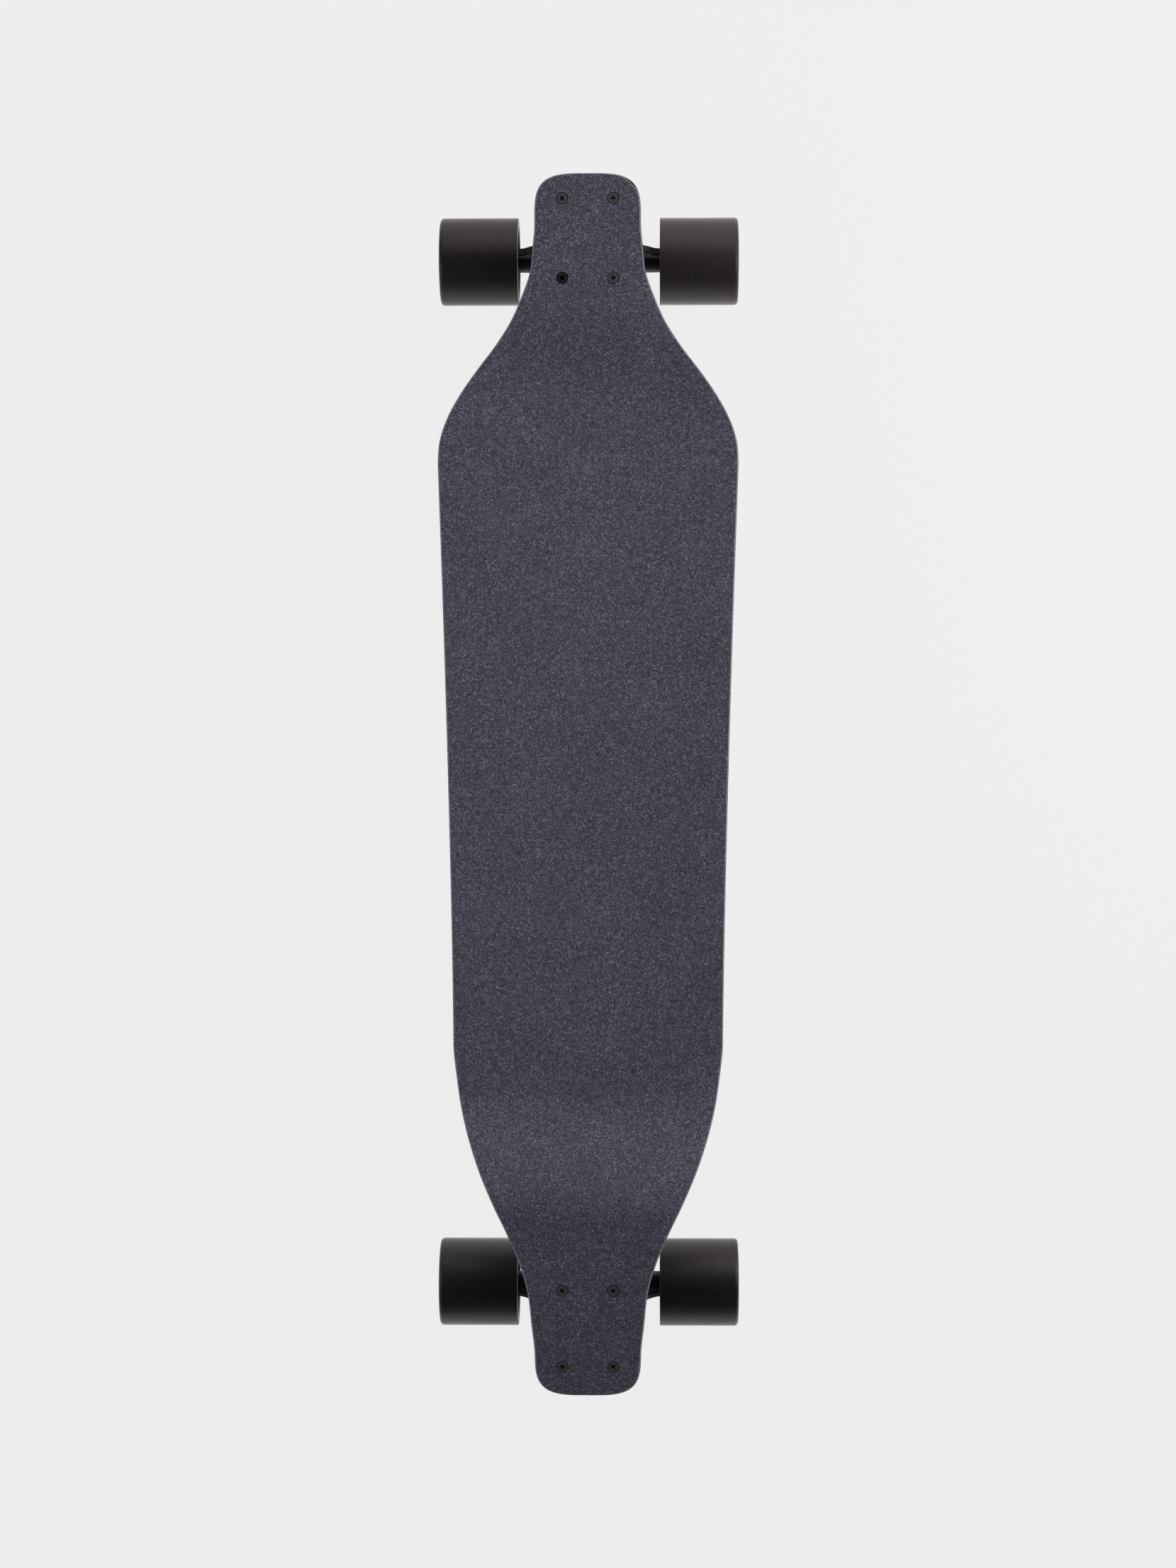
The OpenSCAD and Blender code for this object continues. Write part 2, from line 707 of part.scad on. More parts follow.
module hanger() {
    half = hanger_w / 2;
    axle_u = -ring_to_axle;
    seat = bushing_d / 2 + ring_seat_gap;
    // Web between the ring and the beam, seen along the kingpin: x, then u from the ring
    web = [
        [ring_r - gusset_overlap, 0],
        [ring_r - gusset_overlap / 2, -gusset_ring_drop],
        [shoulder_x, axle_u + shoulder_rise],
        [half * waist_share, axle_u + waist_rise],
        [half, axle_u + beam_end_r],
        [half, axle_u]
    ];
    web_both = concat(web, [for (i = [len(web) - 1 : -1 : 0]) [-web[i].x, web[i].y]]);
    color("#232325") difference() {
        union() {
            along_kingpin(-web_t / 2 - ring_lip) cylinder(r = ring_r, h = web_t + 2 * ring_lip);
            along_kingpin(rake - gusset_t / 2) rotate([0, 0, 180]) mirror([1, 0, 0])
                linear_extrude(gusset_t) polygon(web_both);
            for (s = [-1, 1]) along_axle(0, s) cylinder(r1 = beam_r, r2 = beam_end_r, h = half);
            along_pivot(0) cylinder(r = stem_r, h = axle_to_pivot);
            along_pivot(cup_mouth + stem_room)
                cylinder(r1 = stem_r, r2 = stem_top_r, h = axle_to_pivot - cup_mouth - stem_room);
            along_pivot(0) sphere(r = pivot_d / 2);
        }
        along_kingpin(-web_t / 2 - ring_lip - over) cylinder(r = seat, h = ring_lip + over);
        along_kingpin(web_t / 2) cylinder(r = seat, h = rake + gusset_t);
        along_kingpin(-web_t) cylinder(r = ring_hole_r, h = 2 * web_t);
        along_axle(-half - over) cylinder(r = axle_r, h = 2 * half + 2 * over);
    }
}

module axle() {
    color("#b5b8bb") for (s = [-1, 1]) along_axle(-over, s) bar(axle_r, axle_len / 2 + over);
}

module axle_nuts() {
    color("#9a9da1") for (s = [-1, 1])
        along_axle(axle_nut_at, s) hex_nut(axle_nut_af, axle_nut_h, axle_r);
}

module speed_washers() {
    color("#b5b8bb") for (s = [-1, 1]) for (x = [hanger_w / 2, axle_nut_at - speed_washer_t])
        along_axle(x, s) tube(axle_r + washer_wall, axle_r, speed_washer_t);
}

// Both bearings of one side of the axle
module at_bearings(s) for (x = [inner_race_at, outer_bearing_at]) along_axle(x, s) children();

module race(r_in, r_out) difference() {
    tube(r_out, r_in, bearing_w);
    translate([0, 0, bearing_w / 2]) rotate_extrude() translate([pitch_r, 0]) circle(r = groove_r);
}

module bearing_inner_races() {
    color("#b5b8bb") for (s = [-1, 1]) at_bearings(s) race(axle_r, pitch_r - race_gap_half);
}

module bearing_spacers() {
    color("#b5b8bb") for (s = [-1, 1])
        along_axle(spacer_at, s) tube(axle_r + spacer_wall, axle_r, spacer_len);
}

module bearing_outer_races(s) {
    color("#b5b8bb") at_bearings(s) race(pitch_r + race_gap_half, bearing_r);
}

module bearing_shields(s) {
    color("#28282a") at_bearings(s) for (z = [0, bearing_w - shield_t])
        translate([0, 0, z]) tube(pitch_r + race_gap_half, pitch_r - race_gap_half + shield_gap, shield_t);
}

module each_ball() for (i = [0 : ball_count - 1])
    rotate([0, 0, i * 360 / ball_count]) translate([pitch_r, 0, bearing_w / 2]) children();

module bearing_balls(s) {
    color("#c8cacc") at_bearings(s) each_ball() sphere(r = ball_r);
}

// Crown cage: a ring beside the balls with a pocket for each
module bearing_cages(s) {
    z0 = bearing_w / 2 - cage_low;
    z1 = bearing_w - shield_t - cage_gap;
    color("#d8d4c4") at_bearings(s) difference() {
        translate([0, 0, z0]) tube(pitch_r + cage_wall, pitch_r - cage_wall, z1 - z0);
        each_ball() sphere(r = ball_r + cage_gap);
    }
}

// A wheel's own frame: +Z outboard along the axle, from the middle of the wheel
module at_wheel(s) along_axle(wheel_x, s) children();

module tyre(s) {
    half = wheel_w / 2;
    r = wheel_r;
    color("#1c1c1e") at_wheel(s) rotate_extrude($fn = 96) difference() {
        polygon([
            [core_r, -core_w / 2],
            [inner_face_r, -half],
            [r - inner_lip, -half],
            [r, -half + inner_lip],
            [r, half],
            [outer_face_r, half],
            [core_r, core_w / 2]
        ]);
        // Round of the outer lip
        difference() {
            translate([r - lip_r, half - lip_r]) square(lip_r + over);
            translate([r - lip_r, half - lip_r]) circle(r = lip_r);
        }
    }
}

module core(s) {
    rim_in = core_r - core_lip;
    color("#2c2c2e") at_wheel(s) difference() {
        union() {
            translate([0, 0, -core_w / 2]) tube(core_r, rim_in, core_w);
            translate([0, 0, -hub_half]) cylinder(r = hub_r, h = 2 * hub_half);
            translate([0, 0, -hub_half + disc_inset])
                cylinder(r = rim_in + over, h = 2 * (hub_half - disc_inset));
        }
        for (z = [-hub_half - over, spacer_len / 2]) translate([0, 0, z])
            cylinder(r = bearing_r, h = bearing_w + over);
        translate([0, 0, -hub_half]) cylinder(r = bearing_r - hub_shoulder, h = 2 * hub_half);
        for (i = [0 : window_count - 1]) rotate([0, 0, i * 360 / window_count])
            translate([(hub_r + rim_in) / 2, 0, -hub_half]) cylinder(r = window_r, h = 2 * hub_half);
    }
}

module truck_part(part, end) {
    if (part == "baseplate") baseplate();
    if (part == "kingpin") kingpin();
    if (part == "kingpin_nut") kingpin_nut();
    if (part == "pivot_cup") pivot_cup();
    if (part == "boardside_bushing") boardside_bushing();
    if (part == "roadside_bushing") roadside_bushing();
    if (part == "boardside_washer") boardside_washer();
    if (part == "roadside_washer") roadside_washer();
    if (part == "hanger") hanger();
    if (part == "axle") axle();
    if (part == "axle_nuts") axle_nuts();
    if (part == "speed_washers") speed_washers();
    if (part == "bearing_inner_races") bearing_inner_races();
    if (part == "bearing_spacers") bearing_spacers();
    if (part == "deck_bolts") deck_bolts(end);
    if (part == "deck_nuts") deck_nuts();
}

module wheel_part(part, s) {
    if (part == "tyre") tyre(s);
    if (part == "core") core(s);
    if (part == "bearing_outer_races") bearing_outer_races(s);
    if (part == "bearing_shields") bearing_shields(s);
    if (part == "bearing_balls") bearing_balls(s);
    if (part == "bearing_cages") bearing_cages(s);
}

deck();
grip_tape();
at_truck("front") marker_bolt();  // front_marker_bolt
for (end = ENDS) for (part = TRUCK_PARTS)
    at_truck(end) truck_part(part, end);
for (end = ENDS) for (side = SIDES) for (part = WHEEL_PARTS)
    at_truck(end) wheel_part(part, side_sign(end, side));
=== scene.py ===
"""Looks of a drop-down longboard: deck, grip tape, trucks, wheels and the stage they stand on."""
import math

import bmesh
import bpy
from bpy.props import FloatProperty, FloatVectorProperty, IntProperty, PointerProperty
from mathutils import Matrix, Vector


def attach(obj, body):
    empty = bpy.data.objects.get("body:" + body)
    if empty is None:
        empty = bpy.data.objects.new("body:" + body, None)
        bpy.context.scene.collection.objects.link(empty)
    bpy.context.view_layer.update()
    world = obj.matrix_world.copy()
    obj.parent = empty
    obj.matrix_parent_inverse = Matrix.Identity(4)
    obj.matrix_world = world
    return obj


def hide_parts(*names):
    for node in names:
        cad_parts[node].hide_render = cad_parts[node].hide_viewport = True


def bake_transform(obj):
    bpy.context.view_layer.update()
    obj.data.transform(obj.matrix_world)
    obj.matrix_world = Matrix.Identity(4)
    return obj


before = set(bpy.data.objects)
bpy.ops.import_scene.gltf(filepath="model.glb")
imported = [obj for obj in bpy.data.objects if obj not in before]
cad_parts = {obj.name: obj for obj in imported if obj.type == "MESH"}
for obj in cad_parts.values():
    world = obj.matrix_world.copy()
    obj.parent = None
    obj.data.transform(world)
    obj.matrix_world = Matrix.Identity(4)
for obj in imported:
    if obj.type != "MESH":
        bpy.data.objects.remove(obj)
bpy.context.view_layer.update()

bl_info = {
    "name": "Drop-down longboard",
    "version": (1, 0, 0),
    "blender": (4, 5, 0),
    "location": "3D View > Sidebar > Longboard",
    "description": "Builds and finishes a longboard's deck, grip tape, trucks, wheels and stage",
    "category": "Add Mesh",
}

MM = 0.001
ENDS = ("front", "rear")
SIDES = ("left", "right")
# The front bolt that has a hex socket, counted from 0 in the order of bolt_places
MARKER_BOLT = 2

# Share of the cut-in's depth that is left, at even steps from the shoulder to the neck
FRONT_CUT = (1, 0.979, 0.896, 0.762, 0.592, 0.405, 0.248, 0.138, 0.052, 0.022, 0)
REAR_CUT = (1, 0.96, 0.904, 0.809, 0.678, 0.515, 0.338, 0.184, 0.082, 0.04, 0)
# The superellipse at nose and tail: its power, its first angle off the middle line and its steps
CAP_POWER = 3.6
CAP_FIRST = math.radians(3)
CAP_STEPS = 26
TAPER_POWER = 1.38
# Stations along the tail's flat, the rear slope, the platform, the front slope and the nose's flat
OUTLINE_STEPS = (34, 40, 120, 30, 26)

# Nuts as (across the flats, height), and the thickness of the cupped washers
MOUNT_NUT = (9.5 * MM, 6 * MM)
KINGPIN_NUT = (14.3 * MM, 9 * MM)
AXLE_NUT = (12.7 * MM, 7 * MM)
BOARDSIDE_CUP = 1.2 * MM
ROADSIDE_CUP = 1.5 * MM
# Pitch and depth of the threads on kingpins and axles
BIG_THREAD = (1.06 * MM, 0.5 * MM)
BLACK_PLASTIC = (0.02, 0.02, 0.022)

# Which sockets of a Mix node take and give colours
MIX_SHARE, MIX_A, MIX_B, MIX_RESULT = 0, 6, 7, 2


def length(name, description, millimetres):
    """A length property with its default given in millimetres."""
    return FloatProperty(
        name=name, description=description, default=millimetres * MM, unit="LENGTH", precision=5
    )


def angle(name, description, degrees):
    """An angle property with its default given in degrees."""
    return FloatProperty(
        name=name, description=description, default=math.radians(degrees), subtype="ANGLE"
    )


def number(name, description, value):
    """A plain number."""
    return FloatProperty(name=name, description=description, default=value)


def colour(name, description, rgb):
    """A colour property."""
    return FloatVectorProperty(
        name=name, description=description, default=rgb, subtype="COLOR", size=3, min=0, max=1
    )


class LongboardDeckSizes(bpy.types.PropertyGroup):
    """Sizes and colours of the deck and its grip tape."""

    length: length("Length", "Deck from nose to tail", 990.6)
    front_width: length("Front width", "Width at the front shoulders", 245.3)
    rear_width: length("Rear width", "Width at the rear shoulders", 219.8)
    neck_width: length("Neck width", "Width of the ends over the trucks", 86.3)
    thickness: length("Thickness", "Thickness of the laminate", 11)
    grip_thickness: length("Grip thickness", "Thickness of the grip tape", 0.9)
    drop: length("Drop", "How far the platform lies below the front mount", 24)
    concave: length("Concave", "Rise of the rails above the middle", 8)
    cap: length("Cap", "Length of the rounded end at nose and tail", 37)
    top_round: length("Top round", "Round of the deck's top edge", 1.4)
    low_round: length("Lower round", "Round of the deck's lower edge", 3.2)
    nose_setback: length("Nose setback", "Front bolt pattern's middle to the nose", 51.6)
    tail_setback: length("Tail setback", "Rear bolt pattern's middle to the tail", 55.6)
    front_flat: length("Front flat", "Flat of the front mount, inboard of its middle", 57.7)
    rear_flat: length("Rear flat", "Flat of the rear mount, inboard of its middle", 89.7)
    front_slope: length("Front slope", "Length of the slope behind the front mount", 68)
    rear_slope: length("Rear slope", "Length of the slope before the rear mount", 102)
    front_cut: length("Front cut-in", "Length of the cut-in behind the front truck", 191)
    rear_cut: length("Rear cut-in", "Length of the cut-in before the rear truck", 250)
    front_neck: length("Front neck", "Narrowest place, outboard of the front mount", 10.7)
    rear_neck: length("Rear neck", "Narrowest place, outboard of the rear mount", 21.7)
    grip_edge: length("Grip edge", "Grip tape's edge inside the deck's outline", 0.35)
    filed: length("Filed edge", "Width of the filed edge of the grip tape", 0.75)
    grip_colour: colour("Grip colour", "Middle colour of the grit", (0.1355, 0.1370, 0.1835))
    stain_colour: colour("Stain colour", "Black stain of the maple", (0.008, 0.0075, 0.0075))
    # Pale filed grit, partly a painted highlight along the grip's edge
    filed_grit_and_highlight_colour: colour("Filed colour", "Bare grit along the filed edge", (0.42, 0.42, 0.43))


class LongboardTruckSizes(bpy.types.PropertyGroup):
    """Sizes and colours of the two trucks and the bolts that hold them."""

    tilt: angle("Mount tilt", "Tilt of both mounts, nose side up", 7.5)
    plate_angle: angle("Plate angle", "Angle of the steering axis to the mount", 50)
    height: length("Height", "Mounting face to the axle", 67)
    axle_in: length("Axle setback", "Axle inboard of the bolt pattern's middle", 16.2)
    rake: length("Rake", "Axle to the steering axis", 5)
    ring_to_axle: length("Ring to axle", "Kingpin to the axle along the steering axis", 37.6)
    hanger_width: length("Hanger width", "Hanger between its end faces", 157)
    axle_length: length("Axle length", "Length of the axle", 228.6)
    axle_radius: length("Axle radius", "Radius of the axle", 4)
    kingpin_radius: length("Kingpin radius", "Radius of the kingpin", 4.75)
    bushing_radius: length("Bushing radius", "Radius of both bushings", 13)
    bushing_height: length("Bushing height", "Height of each bushing", 15)
    web: length("Web", "Thickness of the hanger's ring between the bushings", 9)
    flange: length("Flange", "Thickness of the baseplate's flange", 6)
    bolt_x: length("Bolts across", "Bolt pattern across the board", 41.3)
    bolt_y: length("Bolts along", "Bolt pattern along the board", 63.5)
    bolt_length: length("Bolt length", "Deck bolt with its head", 25.4)
    bolt_radius: length("Bolt radius", "Radius of a deck bolt's shank", 2.4)
    head_radius: length("Head radius", "Radius of a deck bolt's head", 4.65)
    paint: colour("Paint", "Powder coat of the castings", (0.012, 0.012, 0.013))
    bolt_black: colour("Bolt black", "Rubbed black oxide of the deck bolts", (0.078, 0.077, 0.082))
    bushing_colour: colour("Bushing colour", "Cast urethane of the bushings", (0.03, 0.03, 0.033))


class LongboardWheelSizes(bpy.types.PropertyGroup):
    """Sizes and colours of the wheels and their bearings."""

    radius: length("Radius", "Radius of a wheel", 36)
    width: length("Width", "Width of a wheel", 65)
    core_radius: length("Core radius", "Radius of the core under the tyre", 21)
    core_width: length("Core width", "Width of the core's rim", 30)
    lip: length("Outer lip", "Round of the tyre's outer lip", 3.5)
    bearing_radius: length("Bearing radius", "Outer radius of a bearing", 11)
    bearing_width: length("Bearing width", "Width of a bearing", 7)
    spacer: length("Spacer", "Length of the spacer between two bearings", 10)
    washer: length("Speed washer", "Thickness of a speed washer", 0.8)
    windows: IntProperty(name="Windows", description="Windows in a core", default=8, min=3, max=12)
    urethane: colour("Urethane", "Cast urethane of the tyres", (0.0060, 0.0042, 0.0066))
    dust: colour("Dust", "Dust on the tyres", (0.036, 0.027, 0.034))


class LongboardStageLook(bpy.types.PropertyGroup):
    """Floor, light and camera."""

    camera_height: length("Camera height", "Camera above the floor", 2614)
    camera_x: length("Camera X", "Camera right of the board's middle", 45)
    camera_y: length("Camera Y", "Camera ahead of the board's middle", 2.0)
    aim_height: length("Aim height", "Height on the board's middle that the camera looks at", 100)
    lens: number("Lens", "Focal length in mm", 70.9)
    floor_colour: colour("Floor", "Pale floor", (0.05, 0.05, 0.05))
    floor_glow: number("Floor glow", "Even light of the floor", 0.832)
    ambient: number("Ambient", "Room's light at the horizon", 0.084)
    window: number("Window", "Light low on the nose side", 0.2)
    nose_power: number("Nose softbox", "Power in W", 14.6)
    key_power: number("Key softbox", "Power in W", 8)
    left_power: number("Left softbox", "Power in W", 4)
    right_power: number("Right softbox", "Power in W", 8.4)
    warm: colour("Warm light", "Colour of the softboxes on the nose side", (1.0, 0.95, 0.87))
    cool: colour("Cool light", "Colour of the softboxes beside the board", (0.87, 0.92, 1.0))


def deck_sizes():
    return bpy.context.scene.longboard_deck


def truck_sizes():
    return bpy.context.scene.longboard_truck


def wheel_sizes():
    return bpy.context.scene.longboard_wheel


def mix(a, b, t):
    """Value at a share t of the way from a to b."""
    return a + (b - a) * t


def ease(t):
    """Share that starts and ends softly."""
    t = min(max(t, 0), 1)
    return t * t * (3 - 2 * t)


def along(values, t):
    """Value of an evenly spaced list at a share t of its length, on a smooth curve."""
    last = len(values) - 1
    s = min(max(t, 0), 1) * last
    i = min(int(s), last - 1)
    f = s - i
    a, b, c, d = (values[min(max(n, 0), last)] for n in range(i - 1, i + 3))
    return b + f / 2 * (c - a + f * (2 * a - 5 * b + 4 * c - d + f * (3 * (b - c) + d - a)))


def ramp(a, b, y):
    """Height and slope of a smooth ramp between two (y, height, slope) places."""
    h = b[0] - a[0]
    t = (y - a[0]) / h
    d = (b[1] - a[1]) / h
    first = 3 * d - 2 * a[2] - b[2]
    second = a[2] + b[2] - 2 * d
    rise = t * (first + t * second)
    return a[1] + h * t * (a[2] + rise), a[2] + 2 * t * first + 3 * t * t * second


def mount_middle(end):
    """Where a bolt pattern's middle lies along the board, seen from above."""
    d = deck_sizes()
    return d.length / 2 - d.nose_setback if end == "front" else d.tail_setback - d.length / 2


def truck_place(end):
    """Bolt pattern's middle on the deck's lower face, in the row frame."""
    d = deck_sizes()
    t = truck_sizes()
    sign = 1 if end == "front" else -1
    top = d.thickness + d.grip_thickness
    height = wheel_sizes().radius + t.height * math.cos(t.tilt) + sign * t.axle_in * math.sin(t.tilt)
    return Vector((0, mount_middle(end) + top * math.sin(t.tilt), height))


class DeckShape:
    """The deck's outline and its top face, worked out from its sizes."""

    def __init__(self):
        d = deck_sizes()
        t = truck_sizes()
        self.d = d
        self.tilt = math.tan(t.tilt)
        self.mount_rise = d.thickness / math.cos(t.tilt)
        front = mount_middle("front")
        rear = mount_middle("rear")
        self.cap_y = d.length / 2 - d.cap
        self.front_shoulder = front + d.front_neck - d.front_cut
        self.rear_shoulder = rear - d.rear_neck + d.rear_cut
        self.front_in = front - d.front_flat
        self.rear_in = rear + d.rear_flat
        self.front_foot = self.front_in - d.front_slope
        self.rear_foot = self.rear_in + d.rear_slope
        self.places = {end: truck_place(end) for end in ENDS}
        self.platform = self.mount_top("front", front) - d.drop
        self.outline = self.make_outline()

    def mount_top(self, end, y):
        """Height of a mount's flat top face."""
        place = self.places[end]
        return place.z + (y - place.y) * self.tilt + self.mount_rise

    def half_width(self, y):
        """Half of the deck's width between the rounded ends."""
        d = self.d
        if y >= self.front_shoulder:
            left = along(FRONT_CUT, (y - self.front_shoulder) / d.front_cut)
            return mix(d.neck_width, d.front_width, left) / 2
        if y <= self.rear_shoulder:
            left = along(REAR_CUT, (self.rear_shoulder - y) / d.rear_cut)
            return mix(d.neck_width, d.rear_width, left) / 2
        share = (y - self.rear_shoulder) / (self.front_shoulder - self.rear_shoulder)
        return mix(d.rear_width, d.front_width, share**TAPER_POWER) / 2

    def cap_point(self, a):
        """Point of the nose's outline at an angle off the middle line."""
        d = self.d
        x = d.neck_width / 2 * math.sin(a) ** (2 / CAP_POWER)
        return Vector((x, self.cap_y + d.cap * math.cos(a) ** (2 / CAP_POWER)))

    def make_outline(self):
        """Right half of the outline as (x, y), from tail to nose."""
        nose = [self.cap_point(mix(CAP_FIRST, math.pi / 2, i / CAP_STEPS)) for i in range(CAP_STEPS)]
        tail = [Vector((p.x, -p.y)) for p in nose]
        bends = (-self.cap_y, self.rear_in, self.rear_foot, self.front_foot, self.front_in, self.cap_y)
        ys = []
        for a, b, steps in zip(bends, bends[1:], OUTLINE_STEPS):
            ys += [mix(a, b, i / steps) for i in range(steps)]
        return tail + [Vector((self.half_width(y), y)) for y in ys + [self.cap_y]] + nose[::-1]

    def outward(self, i):
        """Direction out of the outline at a station."""
        last = len(self.outline) - 1
        if i in (0, last):
            return Vector((0, -1 if i == 0 else 1))
        d = self.outline[i + 1] - self.outline[i - 1]
        return Vector((d.y, -d.x)).normalized()

    def centre_line(self, y):
        """Height and slope of the top face on the centre line."""
        if self.rear_foot < y < self.front_foot:
            return self.platform, 0
        end, edge, foot = "rear", self.rear_in, self.rear_foot
        if y >= self.front_foot:
            end, edge, foot = "front", self.front_in, self.front_foot
        if y >= self.front_in or y <= self.rear_in:
            return self.mount_top(end, y), self.tilt
        ramp_ends = sorted([(edge, self.mount_top(end, edge), self.tilt), (foot, self.platform, 0)])
        return ramp(*ramp_ends, y)

    def rail_rise(self, y):
        """How far the rails stand over the middle, which fades out towards the mounts."""
        d = self.d
        front = ease((self.front_in - y) / d.front_slope)
        return d.concave * front * ease((y - self.rear_in) / d.rear_slope)

    def point(self, i, inset, share, above):
        """Point over station i, drawn in by inset, at a share of the half width and above the top."""
        edge = self.outline[i] - inset * self.outward(i)
        x = share * edge.x
        z, slope = self.centre_line(edge.y)
        z += self.rail_rise(edge.y) * (x / self.outline[i].x) ** 2
        return Vector((x, edge.y, z + above * math.sqrt(1 + slope * slope)))


def rotation(axis, radians):
    return Matrix.Rotation(radians, 4, axis)


def shift(x, y, z):
    return Matrix.Translation((x, y, z))


def truck_matrix(end):
    """From a truck's frame (x across, y outboard, z up from its mount) to the row frame."""
    m = Matrix.Translation(truck_place(end)) @ rotation("X", truck_sizes().tilt)
    return m if end == "front" else m @ rotation("Z", math.pi)


def along_kingpin(end, distance):
    """Local +Z points along the kingpin, from the middle of the hanger's ring."""
    t = truck_sizes()
    steering = Vector((0, math.cos(t.plate_angle), math.sin(t.plate_angle)))
    kingpin = Vector((0, math.sin(t.plate_angle), -math.cos(t.plate_angle)))
    ring = Vector((0, -t.axle_in, -t.height)) - t.rake * kingpin + t.ring_to_axle * steering
    place = Matrix.Translation(ring + distance * kingpin)
    return truck_matrix(end) @ place @ rotation("X", t.plate_angle - math.pi)


def along_axle(end, x, sign):
    """Local +Z points away from the board's middle, from x along the axle."""
    t = truck_sizes()
    turn = rotation("Y", sign * math.pi / 2)
    return truck_matrix(end) @ shift(0, -t.axle_in, -t.height) @ turn @ shift(0, 0, x)


def side_sign(end, side):
    """Which way a side of the board lies along the truck's own x."""
    return (1 if side == "right" else -1) * (1 if end == "front" else -1)


def bolt_places():
    """The four deck bolts of a truck, outboard pair first, in the truck's frame."""
    t = truck_sizes()
    return [(x * t.bolt_x / 2, y * t.bolt_y / 2) for y in (1, -1) for x in (-1, 1)]


def fillet(points, radii, steps=5):
    """Points of a profile with its corners rounded; a radius of 0 leaves a corner sharp."""
    out = []
    n = len(points)
    for i, (p, r) in enumerate(zip(points, radii)):
        p = Vector(p)
        a = Vector(points[i - 1]) - p
        b = Vector(points[(i + 1) % n]) - p
        if r == 0 or a.length == 0 or b.length == 0:
            out.append(p)
            continue
        half = a.angle(b) / 2
        reach = min(r / math.tan(half), 0.49 * a.length, 0.49 * b.length)
        start = p + a.normalized() * reach
        stop = p + b.normalized() * reach
        for j in range(steps + 1):
            t = j / steps
            out.append((1 - t) ** 2 * start + 2 * t * (1 - t) * p + t * t * stop)
    return out


def bar(radius, low, high):
    """Section of a round bar between two heights."""
    return [(0, low), (radius, low), (radius, high), (0, high)]


def threaded(radius, start, stop, pitch=0.8 * MM, depth=0.45 * MM):
    """Section of a threaded stretch, as fine ridges."""
    count = max(1, round((stop - start) / pitch))
    step = (stop - start) / count
    crest = radius - depth * 0.1
    out = []
    for i in range(count):
        z = start + i * step
        out += [(radius - depth, z), (crest, z + step * 0.4), (crest, z + step * 0.6)]
    return out


def mesh_object(name, bm):
    """Object from a bmesh, with its faces turned outward."""
    bmesh.ops.recalc_face_normals(bm, faces=bm.faces)
    mesh = bpy.data.meshes.new(name)
    bm.to_mesh(mesh)
    bm.free()
    obj = bpy.data.objects.new(name, mesh)
    bpy.context.scene.collection.objects.link(obj)
    return obj


def turned(name, profile, places, segments=72):
    """Object of a (radius, height) profile turned about each place's local Z.

    A profile that starts on the axis ends on it too; any other is a closed loop."""
    bm = bmesh.new()
    count = len(profile)
    strips = count if profile[0][0] > 0 else count - 1
    for place in places:
        rows = []
        for j in range(segments):
            turn = place @ rotation("Z", 2 * math.pi * j / segments)
            rows.append([
                bm.verts.new(turn @ Vector((r, 0, z))) if r > 0 or j == 0 else rows[0][i]
                for i, (r, z) in enumerate(profile)
            ])
        for a, b in zip(rows, rows[1:] + rows[:1]):
            for i in range(strips):
                n = (i + 1) % count
                corners = list(dict.fromkeys((a[i], a[n], b[n], b[i])))
                if len(corners) > 2:
                    bm.faces.new(corners)
    return mesh_object(name, bm)


def hexagon(across_flats, z):
    """Corners of a hexagon at a height."""
    r = across_flats / math.sqrt(3)
    angles = [math.radians(60 * i) for i in range(6)]
    return [(r * math.cos(a), r * math.sin(a), z) for a in angles]


def prism(name, low, high, place):
    """Closed solid between a lower and an upper outline of (x, y, z) points."""
    bm = bmesh.new()
    low, high = ([bm.verts.new(place @ Vector(p)) for p in outline] for outline in (low, high))
    bm.faces.new(low[::-1])
    bm.faces.new(high)
    for i in range(len(low)):
        n = (i + 1) % len(low)
        bm.faces.new((low[i], low[n], high[n], high[i]))
    return mesh_object(name, bm)


def joined(name, objects):
    """One object that holds the meshes of several."""
    bm = bmesh.new()
    for obj in objects:
        bm.from_mesh(obj.data)
        bpy.data.objects.remove(obj)
    return mesh_object(name, bm)


def settle(obj):
    """Applies an object's modifiers to its mesh."""
    depsgraph = bpy.context.evaluated_depsgraph_get()
    mesh = bpy.data.meshes.new_from_object(obj.evaluated_get(depsgraph))
    old = obj.data
    obj.modifiers.clear()
    obj.data = mesh
    bpy.data.meshes.remove(old)


def boolean(obj, other, operation="DIFFERENCE"):
    """Cuts or crosses obj with other, and removes other."""
    mod = obj.modifiers.new("cut", "BOOLEAN")
    mod.operation = operation
    mod.solver = "EXACT"
    mod.object = other
    settle(obj)
    bpy.data.objects.remove(other)


def bolt_holes(radius, low, high):
    """Cylinders round all eight deck bolts, between two heights over the deck's top face."""
    top = deck_sizes().thickness
    places = [truck_matrix(end) @ shift(x, y, top) for end in ENDS for x, y in bolt_places()]
    return turned("bolt_holes", bar(radius, low, high), places, 40)


def soften(obj, degrees):
    """Smooth shading that keeps the edges sharper than an angle."""
    for polygon in obj.data.polygons:
        polygon.use_smooth = True
    obj.data.set_sharp_from_angle(angle=math.radians(degrees))


def finish_piece(obj, body, slot, node, *materials, sharp=32):
    """Smooths a piece, gives it its materials and its body, and hides the node that it stands for; its
    slot is not used.
    """
    soften(obj, sharp)
    for m in materials:
        obj.data.materials.append(m)
    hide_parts(node)
    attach(obj, body)


def paint_node(node, material):
    """Gives a carried-over node its material."""
    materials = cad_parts[node].data.materials
    materials.clear()
    materials.append(material)


def shared(store, name, make, *options):
    """The material or node group of that name, made when it isn't there yet."""
    return store.get(name) or make(name, *options)


